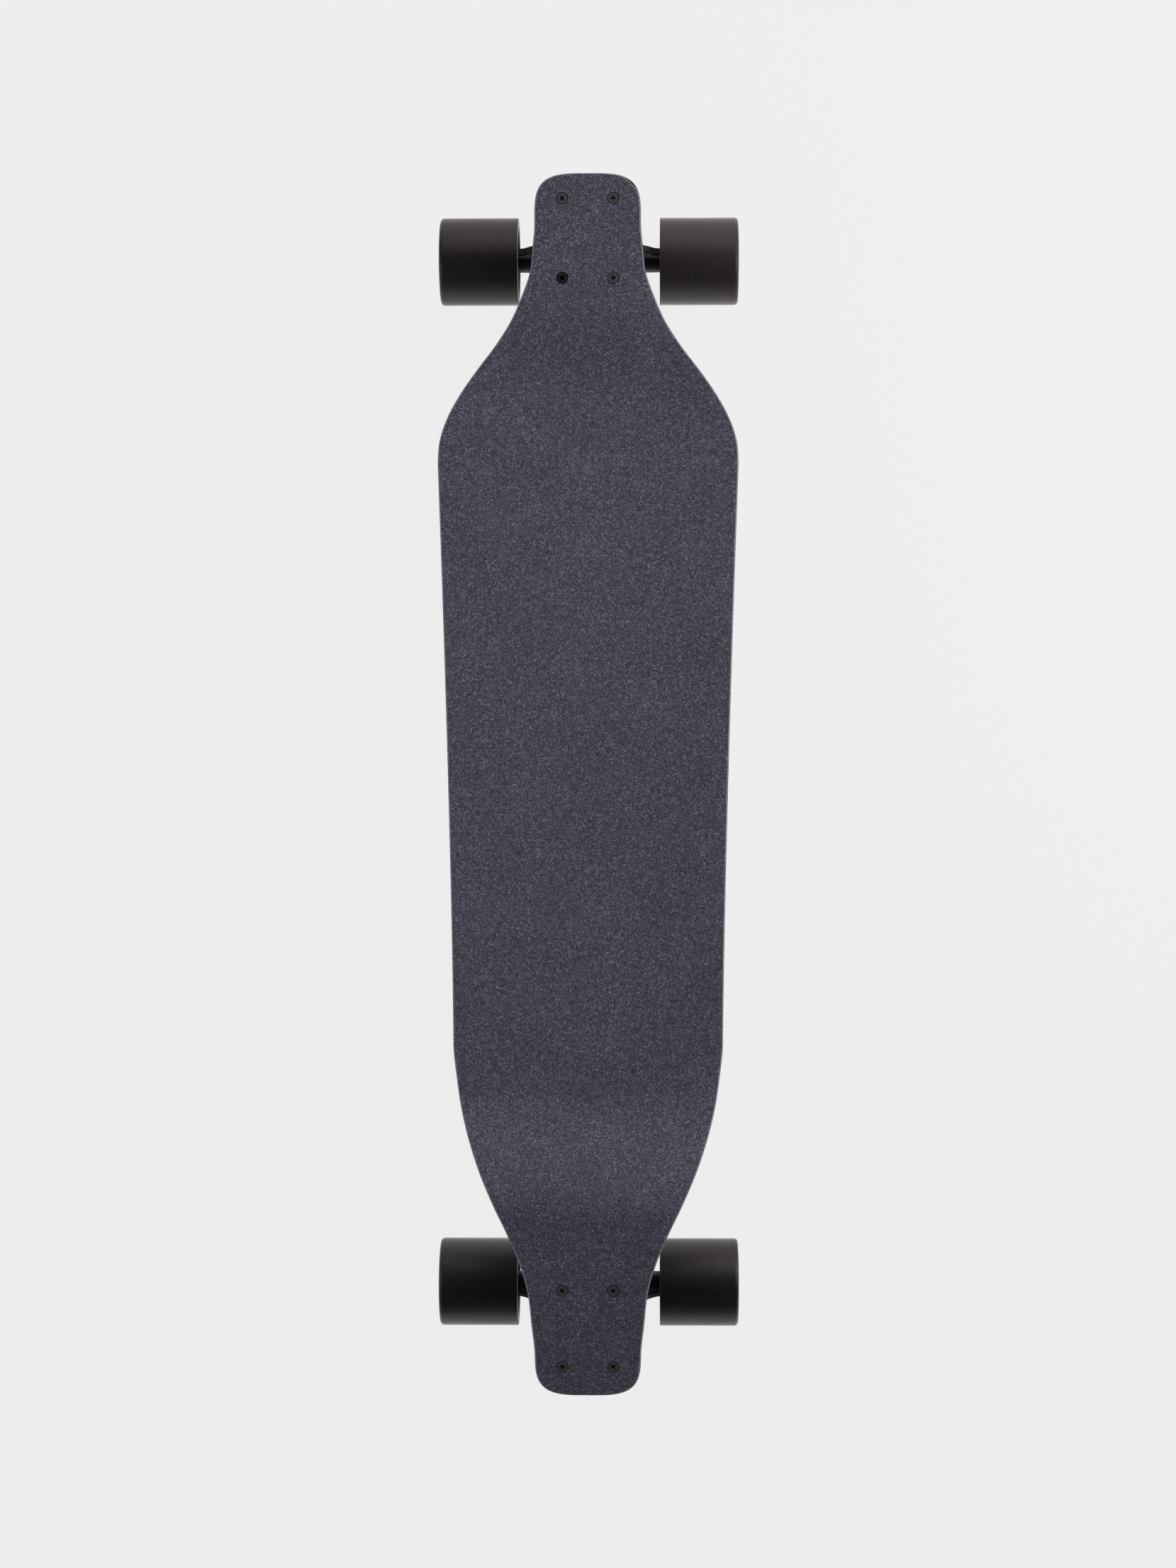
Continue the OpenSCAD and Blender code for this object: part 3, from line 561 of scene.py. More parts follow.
class Tree:
    """A node tree under construction, with short ways to add nodes and feed them."""

    def __init__(self, tree):
        self.tree = tree

    def put(self, value, socket):
        """Feeds a socket with an output, a colour or a plain value."""
        if isinstance(value, bpy.types.NodeSocket):
            self.tree.links.new(value, socket)
        else:
            socket.default_value = (*value, 1) if socket.type == "RGBA" else value

    def add(self, kind, inputs=(), **settings):
        """New node with its settings, and values for its inputs by name or number."""
        node = self.tree.nodes.new("ShaderNode" + kind)
        for name, value in settings.items():
            setattr(node, name, value)
        for key, value in dict(inputs).items():
            self.put(value, node.inputs[key])
        return node

    def place(self, kind="Object"):
        """Texture coordinates, by default on the object itself."""
        return self.add("TexCoord").outputs[kind]

    def math(self, operation, *values, clamp=False):
        """Result of one sum on numbers or outputs."""
        return self.add("Math", enumerate(values), operation=operation, use_clamp=clamp).outputs[0]

    def ramp(self, value, stops):
        """Grey ramp of a value through (place, grey) stops."""
        node = self.add("ValToRGB", {"Fac": value})
        points = node.color_ramp.elements
        while len(points) < len(stops):
            points.new(0.5)
        for point, (place, grey) in zip(points, stops):
            point.position = place
            point.color = (grey, grey, grey, 1)
        return node.outputs["Color"]


class Group(Tree):
    """A node group under construction, with float inputs and outputs."""

    def __init__(self, name, inputs):
        super().__init__(bpy.data.node_groups.new(name, "ShaderNodeTree"))
        for label, default in inputs.items():
            self.socket(label, "INPUT").default_value = default
        self.given = self.tree.nodes.new("NodeGroupInput").outputs

    def socket(self, label, way):
        return self.tree.interface.new_socket(label, in_out=way, socket_type="NodeSocketFloat")

    def give(self, results):
        """The finished group, with its outputs fed."""
        for label in results:
            self.socket(label, "OUTPUT")
        outer = self.tree.nodes.new("NodeGroupOutput")
        for label, socket in results.items():
            self.put(socket, outer.inputs[label])
        return self.tree


def noise_group(name):
    """Mask of soft noise between two values, over the object's own place."""
    g = Group(name, {"Scale": 400.0, "Detail": 3.0, "Low": 0.0, "High": 1.0, "Spread": 0.5})
    given = g.given
    noise = g.add("TexNoise", {"Vector": g.place(), "Scale": given["Scale"], "Detail": given["Detail"]})
    span = g.add("MapRange", {
        "Value": noise.outputs["Fac"],
        "From Min": g.math("MULTIPLY_ADD", given["Spread"], -0.5, 0.5),
        "From Max": g.math("MULTIPLY_ADD", given["Spread"], 0.5, 0.5),
        "To Min": given["Low"],
        "To Max": given["High"],
    })
    return g.give({"Value": span.outputs["Result"]})


def grit_group(name):
    """Crystals of abrasive grit: their height, and how bright each one looks."""
    g = Group(name, {"Size": 0.0005})
    scale = g.math("DIVIDE", 1.0, g.given["Size"])
    cells = g.add("TexVoronoi", {"Vector": g.place(), "Scale": scale}, feature="F1").outputs
    facet = g.add("SeparateColor", {"Color": cells["Color"]}).outputs["Red"]
    return g.give({"Height": cells["Distance"], "Facet": facet})


class Finish(Tree):
    """A material under construction: its Principled shader and short ways to feed it."""

    def __init__(self, name, base, roughness, metallic=0.0, specular=0.5):
        self.material = bpy.data.materials.new(name)
        self.material.use_nodes = True
        super().__init__(self.material.node_tree)
        self.shader = self.tree.nodes["Principled BSDF"]
        self.base = tuple(base)
        self.feed("Base Color", self.base)
        self.feed("Roughness", roughness)
        self.feed("Metallic", metallic)
        self.feed("Specular IOR Level", specular)

    def feed(self, label, value):
        self.put(value, self.shader.inputs[label])

    def group(self, name, make, inputs):
        """Outputs of a node group that all materials share."""
        tree = shared(bpy.data.node_groups, name, make)
        return self.add("Group", inputs, node_tree=tree).outputs

    def noise(self, millimetres, low=0.0, high=1.0, detail=3.0, spread=0.5):
        """Noise with features of about that many millimetres, between two values."""
        scale = 1 / (millimetres * MM)
        inputs = {"Scale": scale, "Detail": detail, "Low": low, "High": high, "Spread": spread}
        return self.group("Soft noise", noise_group, inputs)["Value"]

    def grit(self, millimetres):
        """Heights and facets of crystals of that size."""
        return self.group("Grit crystals", grit_group, {"Size": millimetres * MM})

    def blend(self, a, b, share):
        """Mix of two colours or sockets by a share."""
        node = self.add("Mix", {MIX_SHARE: share, MIX_A: a, MIX_B: b}, data_type="RGBA")
        return node.outputs[MIX_RESULT]

    def tint(self, factor, share):
        """The base colour, going to its multiple by factor where share is 1."""
        return self.blend(self.base, tuple(c * factor for c in self.base), share)

    def bump(self, height, millimetres, strength=1.0):
        """Bump of a height mask, with its full depth in millimetres."""
        inputs = {"Height": height, "Distance": millimetres * MM, "Strength": strength}
        self.feed("Normal", self.add("Bump", inputs).outputs["Normal"])

    def attribute(self, name):
        return self.add("Attribute", attribute_name=name).outputs["Fac"]


def grip_finish():
    """Blue-grey abrasive: dark adhesive between crystals that catch the light one by one."""
    f = Finish("grip_grit", deck_sizes().grip_colour, 0.8, specular=0.3)
    crystals = f.grit(0.95)
    fine = f.grit(0.45)
    patch = f.noise(60, 0.92, 1.08, detail=2, spread=0.5)
    clump = f.noise(2.4, 0.97, 1.03, detail=1, spread=0.6)
    grain = f.ramp(crystals["Facet"], ((0.0, 0.47), (0.5, 0.87), (0.86, 1.33), (1.0, 2.35)))
    small = f.ramp(fine["Facet"], ((0.0, 0.75), (0.7, 0.98), (1.0, 1.5)))
    shade = f.math("MULTIPLY", f.math("MULTIPLY", grain, small), f.math("MULTIPLY", patch, clump))
    warm = tuple(c * k for c, k in zip(f.base, (1.06, 1.01, 0.93)))
    hue = f.blend(f.base, warm, f.noise(16, detail=4))
    f.feed("Base Color", f.add("VectorMath", {0: hue, "Scale": shade}, operation="SCALE").outputs[0])
    f.feed("Roughness", f.ramp(fine["Facet"], ((0.0, 0.9), (0.8, 0.74), (1.0, 0.5))))
    f.bump(f.math("ADD", crystals["Height"], fine["Height"]), 0.35, 0.6)
    return f.material


def filed_grit_and_highlight_finish():
    """Edge of the grip tape where a file wore the grit down to pale specks; the pale colour is partly a
    painted highlight along the edge.
    """
    d = deck_sizes()
    f = Finish("grip_filed_edge", d.filed_grit_and_highlight_colour, 0.85, specular=0.3)
    grit = tuple(1.6 * c for c in d.grip_colour)
    f.feed("Base Color", f.blend(grit, f.base, f.noise(1.4, detail=5, spread=0.35)))
    f.bump(f.noise(0.4), 0.1, 0.6)
    return f.material


def stained_maple_finish():
    """Black-stained laminate: plies as faint lines on the edge, faint grain on the face."""
    plies = 9
    stretch = (900, 22, 300)
    f = Finish("stained_maple", deck_sizes().stain_colour, 0.42, specular=0.5)
    wave = f.math("SINE", f.math("MULTIPLY", f.attribute("ply"), plies * math.pi))
    seam = f.ramp(f.math("ABSOLUTE", wave), ((0.0, 1.0), (0.22, 0.0)))
    where = f.add("Mapping", {"Vector": f.place(), "Scale": stretch}).outputs["Vector"]
    noise = f.add("TexNoise", {"Vector": where, "Scale": 1.0, "Detail": 6, "Distortion": 0.4})
    grain = noise.outputs["Fac"]
    wood = f.blend(f.base, (0.018, 0.0155, 0.014), f.ramp(grain, ((0.35, 0.0), (0.7, 1.0))))
    f.feed("Base Color", f.blend(wood, (0.026, 0.022, 0.02), seam))
    f.feed("Roughness", f.noise(8, 0.34, 0.52))
    f.bump(f.math("ADD", grain, f.math("MULTIPLY", seam, -1.5)), 0.05, 0.5)
    return f.material


def cast_paint_finish():
    """Satin powder coat over a casting, with its fine orange peel."""
    f = Finish("cast_powder_coat", truck_sizes().paint, 0.4, specular=0.5)
    f.feed("Roughness", f.noise(3, 0.3, 0.48, detail=4))
    f.feed("Base Color", f.tint(1.9, f.noise(9, detail=5, spread=0.6)))
    f.bump(f.math("ADD", f.noise(0.9, detail=2), f.noise(4, 0, 1.5, detail=2)), 0.05, 0.6)
    return f.material


def steel_finish(name, base, roughness):
    """Plated or ground steel with fine wipe marks."""
    f = Finish(name, base, roughness, metallic=1.0)
    f.feed("Roughness", f.noise(0.8, roughness * 0.75, roughness * 1.35, detail=5))
    f.feed("Base Color", f.tint(0.72, f.noise(5, detail=5, spread=0.55)))
    f.bump(f.noise(0.5), 0.01, 0.5)
    return f.material


def black_oxide_finish(name, base, wear):
    """Black oxide with worn, slightly brighter spots."""
    f = Finish(name, base, 0.42, specular=0.6)
    f.feed("Roughness", f.noise(1.2, 0.32, 0.55, detail=4))
    f.feed("Base Color", f.tint(wear, f.noise(1.6, detail=6, spread=0.45)))
    f.bump(f.noise(0.5), 0.015, 0.5)
    return f.material


def painted_shade_black_finish():
    """Painted shade: near-black for the recesses and rims of the bolt heads, where shade falls."""
    f = Finish("dull_black", (0.003, 0.003, 0.003), 0.9, specular=0.05)
    f.feed("Roughness", f.noise(0.8, 0.82, 0.95))
    f.feed("Base Color", f.tint(2.5, f.noise(0.6, detail=4)))
    return f.material


def urethane_finish():
    """Matte cast urethane with a ground skin and road dust, which one wheel holds more of."""
    w = wheel_sizes()
    f = Finish("matte_urethane", w.urethane, 0.45, specular=0.6)
    specks = f.ramp(f.noise(0.9), ((0.45, 0.0), (0.9, 1.0)))
    haze = f.noise(14, 0.2, 0.9, detail=4)
    dust = f.math("MULTIPLY", f.attribute("dust"), f.noise(3, 0.7, 1.0, detail=5))
    share = f.math("MAXIMUM", f.math("MULTIPLY", specks, haze), dust)
    f.feed("Base Color", f.blend(f.base, tuple(w.dust), share))
    f.feed("Roughness", f.noise(5, 0.4, 0.5, detail=5))
    f.feed("Specular Tint", (1.0, 0.9, 0.92))
    f.feed("Sheen Weight", 1.0)
    f.feed("Sheen Roughness", 0.3)
    f.feed("Sheen Tint", (1.0, 0.86, 0.88))
    f.bump(f.noise(0.9), 0.07, 0.8)
    return f.material


def plastic_finish(name, base, roughness, grain_mm=0.6):
    """Moulded plastic or rubber with a fine grain."""
    f = Finish(name, base, roughness)
    f.feed("Roughness", f.noise(2.5, roughness * 0.85, roughness * 1.2, detail=4))
    f.feed("Base Color", f.tint(1.7, f.noise(6, detail=5)))
    f.bump(f.noise(grain_mm, detail=2), 0.02, 0.6)
    return f.material


def bright_steel():
    return shared(bpy.data.materials, "bright_steel", steel_finish, (0.55, 0.56, 0.58), 0.24)


def zinc_steel():
    return shared(bpy.data.materials, "zinc_steel", steel_finish, (0.42, 0.43, 0.46), 0.36)


def skin(rings, side, name):
    """Closed skin over rings of equal length, each with that many points in a side edge."""
    bm = bmesh.new()
    rows = [[bm.verts.new(p) for p in ring] for ring in rings]
    m = len(rows[0])
    for a, b in zip(rows, rows[1:]):
        for j in range(m):
            n = (j + 1) % m
            bm.faces.new((a[j], b[j], b[n], a[n]))
    across = m // 2 - side
    for row in (rows[0], rows[-1]):
        levels = [row[:across]]
        levels += [[row[m - t], row[across - 1 + t]] for t in range(1, side + 1)]
        levels.append(row[across + side:m - side][::-1])
        for upper, lower in zip(levels, levels[1:]):
            for p, q in zip(upper, upper[1:]):
                bm.faces.new((p, q, lower[0]))
            for p, q in zip(lower, lower[1:]):
                bm.faces.new((upper[-1], q, p))
    return mesh_object(name, bm)


class LONGBOARD_OT_deck(bpy.types.Operator):
    """Build the stained laminate deck with its drop, concave and rounded edges"""

    bl_idname = "longboard.deck"
    bl_label = "Deck"

    across = 36
    round_steps = 5
    hole_low = -8 * MM
    hole_high = MM

    def execute(self, context):
        d = deck_sizes()
        shape = DeckShape()
        quarter = [i / self.round_steps * math.pi / 2 for i in range(self.round_steps + 1)]
        top = [(d.top_round * (1 - math.sin(a)), -d.top_round * (1 - math.cos(a))) for a in quarter]
        low = [
            (d.low_round * (1 - math.cos(a)), d.low_round * (1 - math.sin(a)) - d.thickness)
            for a in quarter
        ]
        edge = top[1:] + low[:-1]
        shares = [mix(-1, 1, j / self.across) for j in range(self.across + 1)]
        section = [(top[0][0], share, 0) for share in shares]
        section += [(inset, 1, z) for inset, z in edge]
        section += [(low[-1][0], -share, -d.thickness) for share in shares]
        section += [(inset, -1, z) for inset, z in reversed(edge)]
        rings = [[shape.point(i, *place) for place in section] for i in range(len(shape.outline))]
        obj = skin(rings, len(edge), "deck_board")
        ply = obj.data.attributes.new("ply", "FLOAT", "POINT")
        for n, item in enumerate(ply.data):
            item.value = 1 + section[n % len(section)][2] / d.thickness
        boolean(obj, bolt_holes(truck_sizes().head_radius, self.hole_low, self.hole_high))
        finish_piece(obj, "board", "maple", "deck", stained_maple_finish(), sharp=40)
        return {"FINISHED"}


class LONGBOARD_OT_grip(bpy.types.Operator):
    """Lay the grip tape, with its filed edge and a hole round each bolt"""

    bl_idname = "longboard.grip"
    bl_label = "Grip tape"

    across = 44
    hole_radius = 4.95 * MM
    hole_low = -2 * MM
    hole_high = 6 * MM
    nose_inset = 1.4 * MM
    tail_inset = 0.5 * MM
    corner_at = 0.79
    corner_spread = 0.13
    bevel_in = 0.35
    bevel_low = 0.55 * MM
    sunk = 0.05 * MM

    def edge_inset(self, shape, i, side):
        """How far the tape stops short of the outline: more at the two right-hand corners."""
        d = deck_sizes()
        edge = shape.outline[i]
        beyond = (abs(edge.y) - shape.cap_y) / d.cap
        corner = math.exp(-(((beyond - self.corner_at) / self.corner_spread) ** 2)) if side > 0 else 0
        most = self.nose_inset if edge.y > 0 else self.tail_inset
        return d.grip_edge + most * corner

    def drop(self, inset):
        """How far the deck's rounded edge has fallen at an inset."""
        r = deck_sizes().top_round
        reach = max(r - inset, 0)
        return r - math.sqrt(r * r - reach * reach)

    def row(self, shape, i, insets, above, sunk):
        """Points across one face from left to right; its rim follows the deck's rounded edge."""
        out = []
        at_end = i in (0, len(shape.outline) - 1)
        for j in range(self.across + 1):
            inset = mix(*insets, j / self.across)
            fall = self.drop(inset) if at_end or j in (0, self.across) else sunk
            out.append(shape.point(i, inset, mix(-1, 1, j / self.across), above - fall))
        return out

    def bevel_point(self, shape, i, side, edge):
        """Point halfway up the filed edge."""
        inset = edge + deck_sizes().filed * self.bevel_in
        return shape.point(i, inset, side, self.bevel_low - self.drop(inset))

    def execute(self, context):
        d = deck_sizes()
        shape = DeckShape()
        rings = []
        for i in range(len(shape.outline)):
            low = [self.edge_inset(shape, i, side) for side in (-1, 1)]
            high = [inset + d.filed for inset in low]
            ring = self.row(shape, i, high, d.grip_thickness, 0)
            ring.append(self.bevel_point(shape, i, 1, low[1]))
            ring += reversed(self.row(shape, i, low, 0, self.sunk))
            ring.append(self.bevel_point(shape, i, -1, low[0]))
            rings.append(ring)
        obj = skin(rings, 1, "grip_sheet")
        m = len(rings[0])
        # Faces of the filed edge take the pale filed material, partly a painted highlight
        edges = {self.across, self.across + 1, m - 2, m - 1}
        for n, polygon in enumerate(obj.data.polygons):
            along_side = n < (len(rings) - 1) * m
            polygon.material_index = 0 if along_side and n % m not in edges else 1
        boolean(obj, bolt_holes(self.hole_radius, self.hole_low, self.hole_high))
        finish_piece(obj, "board", "grip", "grip_tape", grip_finish(), filed_grit_and_highlight_finish(), sharp=30)
        return {"FINISHED"}


class LONGBOARD_OT_deck_bolts(bpy.types.Operator):
    """Make the countersunk deck bolts, seven with a cross recess and the marker with a hex socket"""

    bl_idname = "longboard.deck_bolts"
    bl_label = "Deck bolts"

    turns = {"front": (45, 8, 0, 18), "rear": (40, 5, 55, 45)}
    rim = 0.32 * MM
    arm = 2.4 * MM
    half_arm = 0.55 * MM
    deep = 2.1 * MM
    socket = 3.6 * MM
    point = 0.6 * MM
    plain = 0.4 * MM
    thread = 9 * MM
    crown_rounds = (0, 0.1 * MM, 0.2 * MM, 0)
    # Length and width of a cross arm at its bottom and over the head, as shares of arm and half_arm
    arm_low = (0.42, 0.7)
    arm_high = (1.25, 1.2)

    def head_top(self):
        """Height of the heads in the truck's frame, halfway down the grip tape."""
        d = deck_sizes()
        return d.thickness + d.grip_thickness / 2

    def blank(self, place):
        """A bolt without its recess."""
        t = truck_sizes()
        r = t.bolt_radius
        head = t.head_radius
        top = self.head_top()
        tip = top - t.bolt_length
        under_rim = top - self.rim
        shank = [(0, tip), (r - self.point, tip)] + threaded(r, tip + self.plain, tip + self.thread)
        crown = [(r, under_rim - (head - r)), (head, under_rim), (head - self.rim, top), (0, top)]
        return turned("bolt", shank + fillet(crown, self.crown_rounds), [place], 48)

    def arm_cutter(self, place):
        """One arm of the tapered cross that cuts the recess."""
        top = self.head_top()
        low, high = (
            [
                (x * self.arm * reach, y * self.half_arm * half, z)
                for x, y in ((-1, -1), (1, -1), (1, 1), (-1, 1))
            ]
            for z, (reach, half) in ((top - self.deep, self.arm_low), (top + MM, self.arm_high))
        )
        return prism("arm", low, high, place)

    def shade(self, obj, place):
        """Gives the rim and the recess of a head the near-black of painted shade."""
        to_bolt = place.inverted()
        top = self.head_top()
        recess_radius = self.arm * 1.3
        recess_low = top - self.deep * 1.1
        recess_high = top - 0.02 * MM
        rim_radius = (truck_sizes().head_radius - self.rim) * 0.99
        rim_low = top - self.rim * 1.5
        for polygon in obj.data.polygons:
            p = to_bolt @ polygon.center
            off = math.hypot(p.x, p.y)
            recess = off < recess_radius and recess_low < p.z < recess_high
            rim = off > rim_radius and p.z > rim_low
            polygon.material_index = 1 if recess or rim else 0

    def execute(self, context):
        top = self.head_top()
        fresh = black_oxide_finish("black_oxide", (0.006, 0.006, 0.007), 2.0)
        rubbed = black_oxide_finish("worn_oxide", truck_sizes().bolt_black, 1.5)
        # Painted shade: near-black for the recesses and rims of the bolt heads
        painted_shade = painted_shade_black_finish()
        for end in ENDS:
            parts = []
            for i, (x, y) in enumerate(bolt_places()):
                place = truck_matrix(end) @ shift(x, y, 0)
                obj = self.blank(place)
                if end == "front" and i == MARKER_BOLT:
                    ends = (hexagon(self.socket, top - self.deep), hexagon(self.socket, top + MM))
                    boolean(obj, prism("socket", *ends, place))
                    self.shade(obj, place)
                    obj.name = "marker_bolt"
                    finish_piece(obj, "board", "black_steel", "front_marker_bolt", fresh, painted_shade)
                    continue
                for turn in (0, 90):
                    cross = rotation("Z", math.radians(self.turns[end][i] + turn))
                    boolean(obj, self.arm_cutter(place @ cross))
                self.shade(obj, place)
                parts.append(obj)
            obj = joined(f"{end}_bolts", parts)
            finish_piece(obj, "board", "black_steel", f"{end}_deck_bolts", rubbed, painted_shade)
        return {"FINISHED"}


def nuts(name, places, size, bore):
    """Chamfered hexagon nuts with the round collar that holds a locking ring."""
    flats, height = size
    hex_height = height * 0.72
    corner = flats / math.sqrt(3)
    face = flats / 2 * 0.96
    chamfer = (corner - face) * 0.6
    clear_of_corner = corner + 0.02 * MM
    collar_radius = flats / 2 * 0.93
    collar_round = 0.9 * MM
    hole_radius = bore * 1.12
    shell = [(0, 0), (face, 0), (clear_of_corner, chamfer)]
    shell += [(x, hex_height - z) for x, z in reversed(shell)]
    collar = fillet(bar(collar_radius, hex_height / 2, height), [0, 0, collar_round, 0])
    hole = bar(hole_radius, -MM, height + MM)
    parts = []
    for place in places:
        obj = prism("nut", hexagon(flats, -MM), hexagon(flats, hex_height + MM), place)
        boolean(obj, turned("shell", shell, [place], 64), "INTERSECT")
        boolean(obj, turned("collar", collar, [place], 56), "UNION")
        boolean(obj, turned("bore", hole, [place], 48))
        parts.append(obj)
    return joined(name, parts)


class LONGBOARD_OT_nuts(bpy.types.Operator):
    """Make the locking nuts of the deck bolts, kingpins and axles"""

    bl_idname = "longboard.nuts"
    bl_label = "Nuts"

    def execute(self, context):
        t = truck_sizes()
        w = wheel_sizes()
        above = t.web / 2 + t.bushing_height + ROADSIDE_CUP
        out = t.hanger_width / 2 + 2 * w.washer + 2 * w.bearing_width + w.spacer
        for end in ENDS:
            under = truck_matrix(end) @ shift(0, 0, -t.flange)
            mounts = [under @ shift(x, y, 0) @ rotation("X", math.pi) for x, y in bolt_places()]
            kingpin = [along_kingpin(end, above)]
            axle = [along_axle(end, out, s) for s in (-1, 1)]
            for name, node, body, places, size, bore in (
                ("mount_nuts", "deck_nuts", "board", mounts, MOUNT_NUT, t.bolt_radius),
                ("kingpin_locknut", "kingpin_nut", "board", kingpin, KINGPIN_NUT, t.kingpin_radius),
                ("axle_locknuts", "axle_nuts", f"{end}_truck", axle, AXLE_NUT, t.axle_radius),
            ):
                obj = nuts(f"{end}_{name}", places, size, bore)
                finish_piece(obj, body, "zinc_steel", f"{end}_{node}", zinc_steel())
        return {"FINISHED"}


class LONGBOARD_OT_castings(bpy.types.Operator):
    """Round the edges of the cast baseplates and hangers and give them powder coat"""

    bl_idname = "longboard.castings"
    bl_label = "Castings"

    voxel = 0.75 * MM
    smoothing = 0.5
    smooth_rounds = 5

    def execute(self, context):
        paint = cast_paint_finish()
        for end in ENDS:
            for node, body in ((f"{end}_baseplate", "board"), (f"{end}_hanger", f"{end}_truck")):
                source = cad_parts[node]
                obj = bpy.data.objects.new(f"{node}_casting", source.data.copy())
                context.scene.collection.objects.link(obj)
                obj.data.materials.clear()
                remesh = obj.modifiers.new("remesh", "REMESH")
                remesh.mode = "VOXEL"
                remesh.voxel_size = self.voxel
                smooth = obj.modifiers.new("smooth", "SMOOTH")
                smooth.factor = self.smoothing
                smooth.iterations = self.smooth_rounds
                settle(obj)
                finish_piece(obj, body, "truck_paint", node, paint, sharp=60)
        return {"FINISHED"}


class LONGBOARD_OT_kingpins(bpy.types.Operator):
    """Make the kingpins with their threaded ends, and the cupped washers"""

    bl_idname = "longboard.kingpins"
    bl_label = "Kingpins and washers"

    to_head = 11.3 * MM
    head_height = 6 * MM
    beyond_nut = 1.5 * MM
    thread = 11 * MM
    plain = 0.8 * MM
    point = 1.0 * MM
    cup_round = 0.35 * MM
    # How far the cups reach beyond the bushings' radius
    boardside_lip = 0.8 * MM
    roadside_lip = -2 * MM

    def execute(self, context):
        t = truck_sizes()
        r = t.kingpin_radius
        stack = t.web / 2 + t.bushing_height
        seat = stack + BOARDSIDE_CUP
        head = seat + self.to_head
        end_at = head + stack + ROADSIDE_CUP + KINGPIN_NUT[1] + self.beyond_nut
        thread_at = end_at - self.thread
        profile = [(0, 0), (r, 0), (r, thread_at)]
        profile += threaded(r, thread_at, end_at - self.plain, *BIG_THREAD)
        profile += [(r - self.point, end_at), (0, end_at)]
        hexagons = (hexagon(KINGPIN_NUT[0], 0), hexagon(KINGPIN_NUT[0], self.head_height))
        cups = (
            ("boardside_washer", -seat, self.boardside_lip, BOARDSIDE_CUP),
            ("roadside_washer", stack + ROADSIDE_CUP, self.roadside_lip, -ROADSIDE_CUP),
        )
        for end in ENDS:
            bolt_head = prism("head", *hexagons, along_kingpin(end, -head - self.head_height))
            shank = turned("shank", profile, [along_kingpin(end, -head)], 56)
            obj = joined(f"{end}_kingpin_bar", [shank, bolt_head])
            finish_piece(obj, "board", "zinc_steel", f"{end}_kingpin", zinc_steel())
            for name, at, lip, thick in cups:
                outer = t.bushing_radius + lip
                points = [(r, 0), (outer, 0), (outer, thick), (r, thick)]
                rounded = fillet(points, [0, self.cup_round, self.cup_round, 0])
                obj = turned(f"{end}_{name}_cup", rounded, [along_kingpin(end, at)])
                finish_piece(obj, "board", "zinc_steel", f"{end}_{name}", zinc_steel())
        return {"FINISHED"}


class LONGBOARD_OT_bushings(bpy.types.Operator):
    """Make the urethane bushings and give the pivot cups their finish"""

    bl_idname = "longboard.bushings"
    bl_label = "Bushings and pivot cups"

    rows = 12
    edge = 1.0 * MM
    edge_out = 0.3 * MM
    edge_low = 0.35 * MM
    bulge = 0.25 * MM
    bore_gap = 0.3 * MM
    # Where the cone starts, as a share of its height, and its radii under, on and above the bevel
    cone_from = 0.2
    cone_radii = (9.5 * MM, 9.2 * MM, 8.5 * MM)

    def execute(self, context):
        t = truck_sizes()
        rubber = plastic_finish("bushing_urethane", t.bushing_colour, 0.38, 1.5)
        cup = plastic_finish("pivot_urethane", (0.03, 0.03, 0.032), 0.5)
        h = t.bushing_height
        r = t.bushing_radius
        steps = [i / self.rows for i in range(self.rows + 1)]
        low = [(r - self.edge, 0), (r - self.edge_out, self.edge_low)]
        high = [(x, h - z) for x, z in reversed(low)]
        barrel = [
            (r - self.bulge * (2 * s - 1) ** 2, mix(self.edge, h - self.edge, s)) for s in steps
        ]
        narrow, bevel, top = self.cone_radii
        cone = [(r, self.edge)]
        cone += [(mix(r, narrow, s), mix(h * self.cone_from, h - self.edge, s)) for s in steps]
        cone_top = [(bevel, h - self.edge_low), (top, h)]
        bore = [(t.kingpin_radius + self.bore_gap, h * s) for s in reversed(steps)]
        web = t.web / 2
        for end in ENDS:
            for name, profile, at, from_board, to_hanger in (
                ("boardside_bushing", low + barrel + high + bore, -web - h, -web - h, -web),
                ("roadside_bushing", low + cone + cone_top + bore, web, web + h, web),
            ):
                obj = turned(f"{end}_{name}_cast", profile, [along_kingpin(end, at)])
                soften(obj, 40)
                obj.data.materials.append(rubber)
                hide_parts(f"{end}_{name}")
                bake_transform(obj)
            paint_node(f"{end}_pivot_cup", cup)
        return {"FINISHED"}


class LONGBOARD_OT_axles(bpy.types.Operator):
    """Make the axles with their threaded ends, the speed washers and the spacers' finish"""

    bl_idname = "longboard.axles"
    bl_label = "Axles"

    thread = 12 * MM
    plain = 0.9 * MM
    point = 1.1 * MM

    def execute(self, context):
        t = truck_sizes()
        half = t.axle_length / 2
        r = t.axle_radius
        profile = [(0, 0), (r, 0), (r, half - self.thread)]
        profile += threaded(r, half - self.thread, half - self.plain, *BIG_THREAD)
        profile += [(r - self.point, half), (0, half)]
        for end in ENDS:
            obj = turned(f"{end}_axle_bar", profile, [along_axle(end, 0, s) for s in (-1, 1)], 48)
            finish_piece(obj, f"{end}_truck", "bright_steel", f"{end}_axle", bright_steel())
            for part in ("speed_washers", "bearing_spacers"):
                paint_node(f"{end}_{part}", bright_steel())
        return {"FINISHED"}


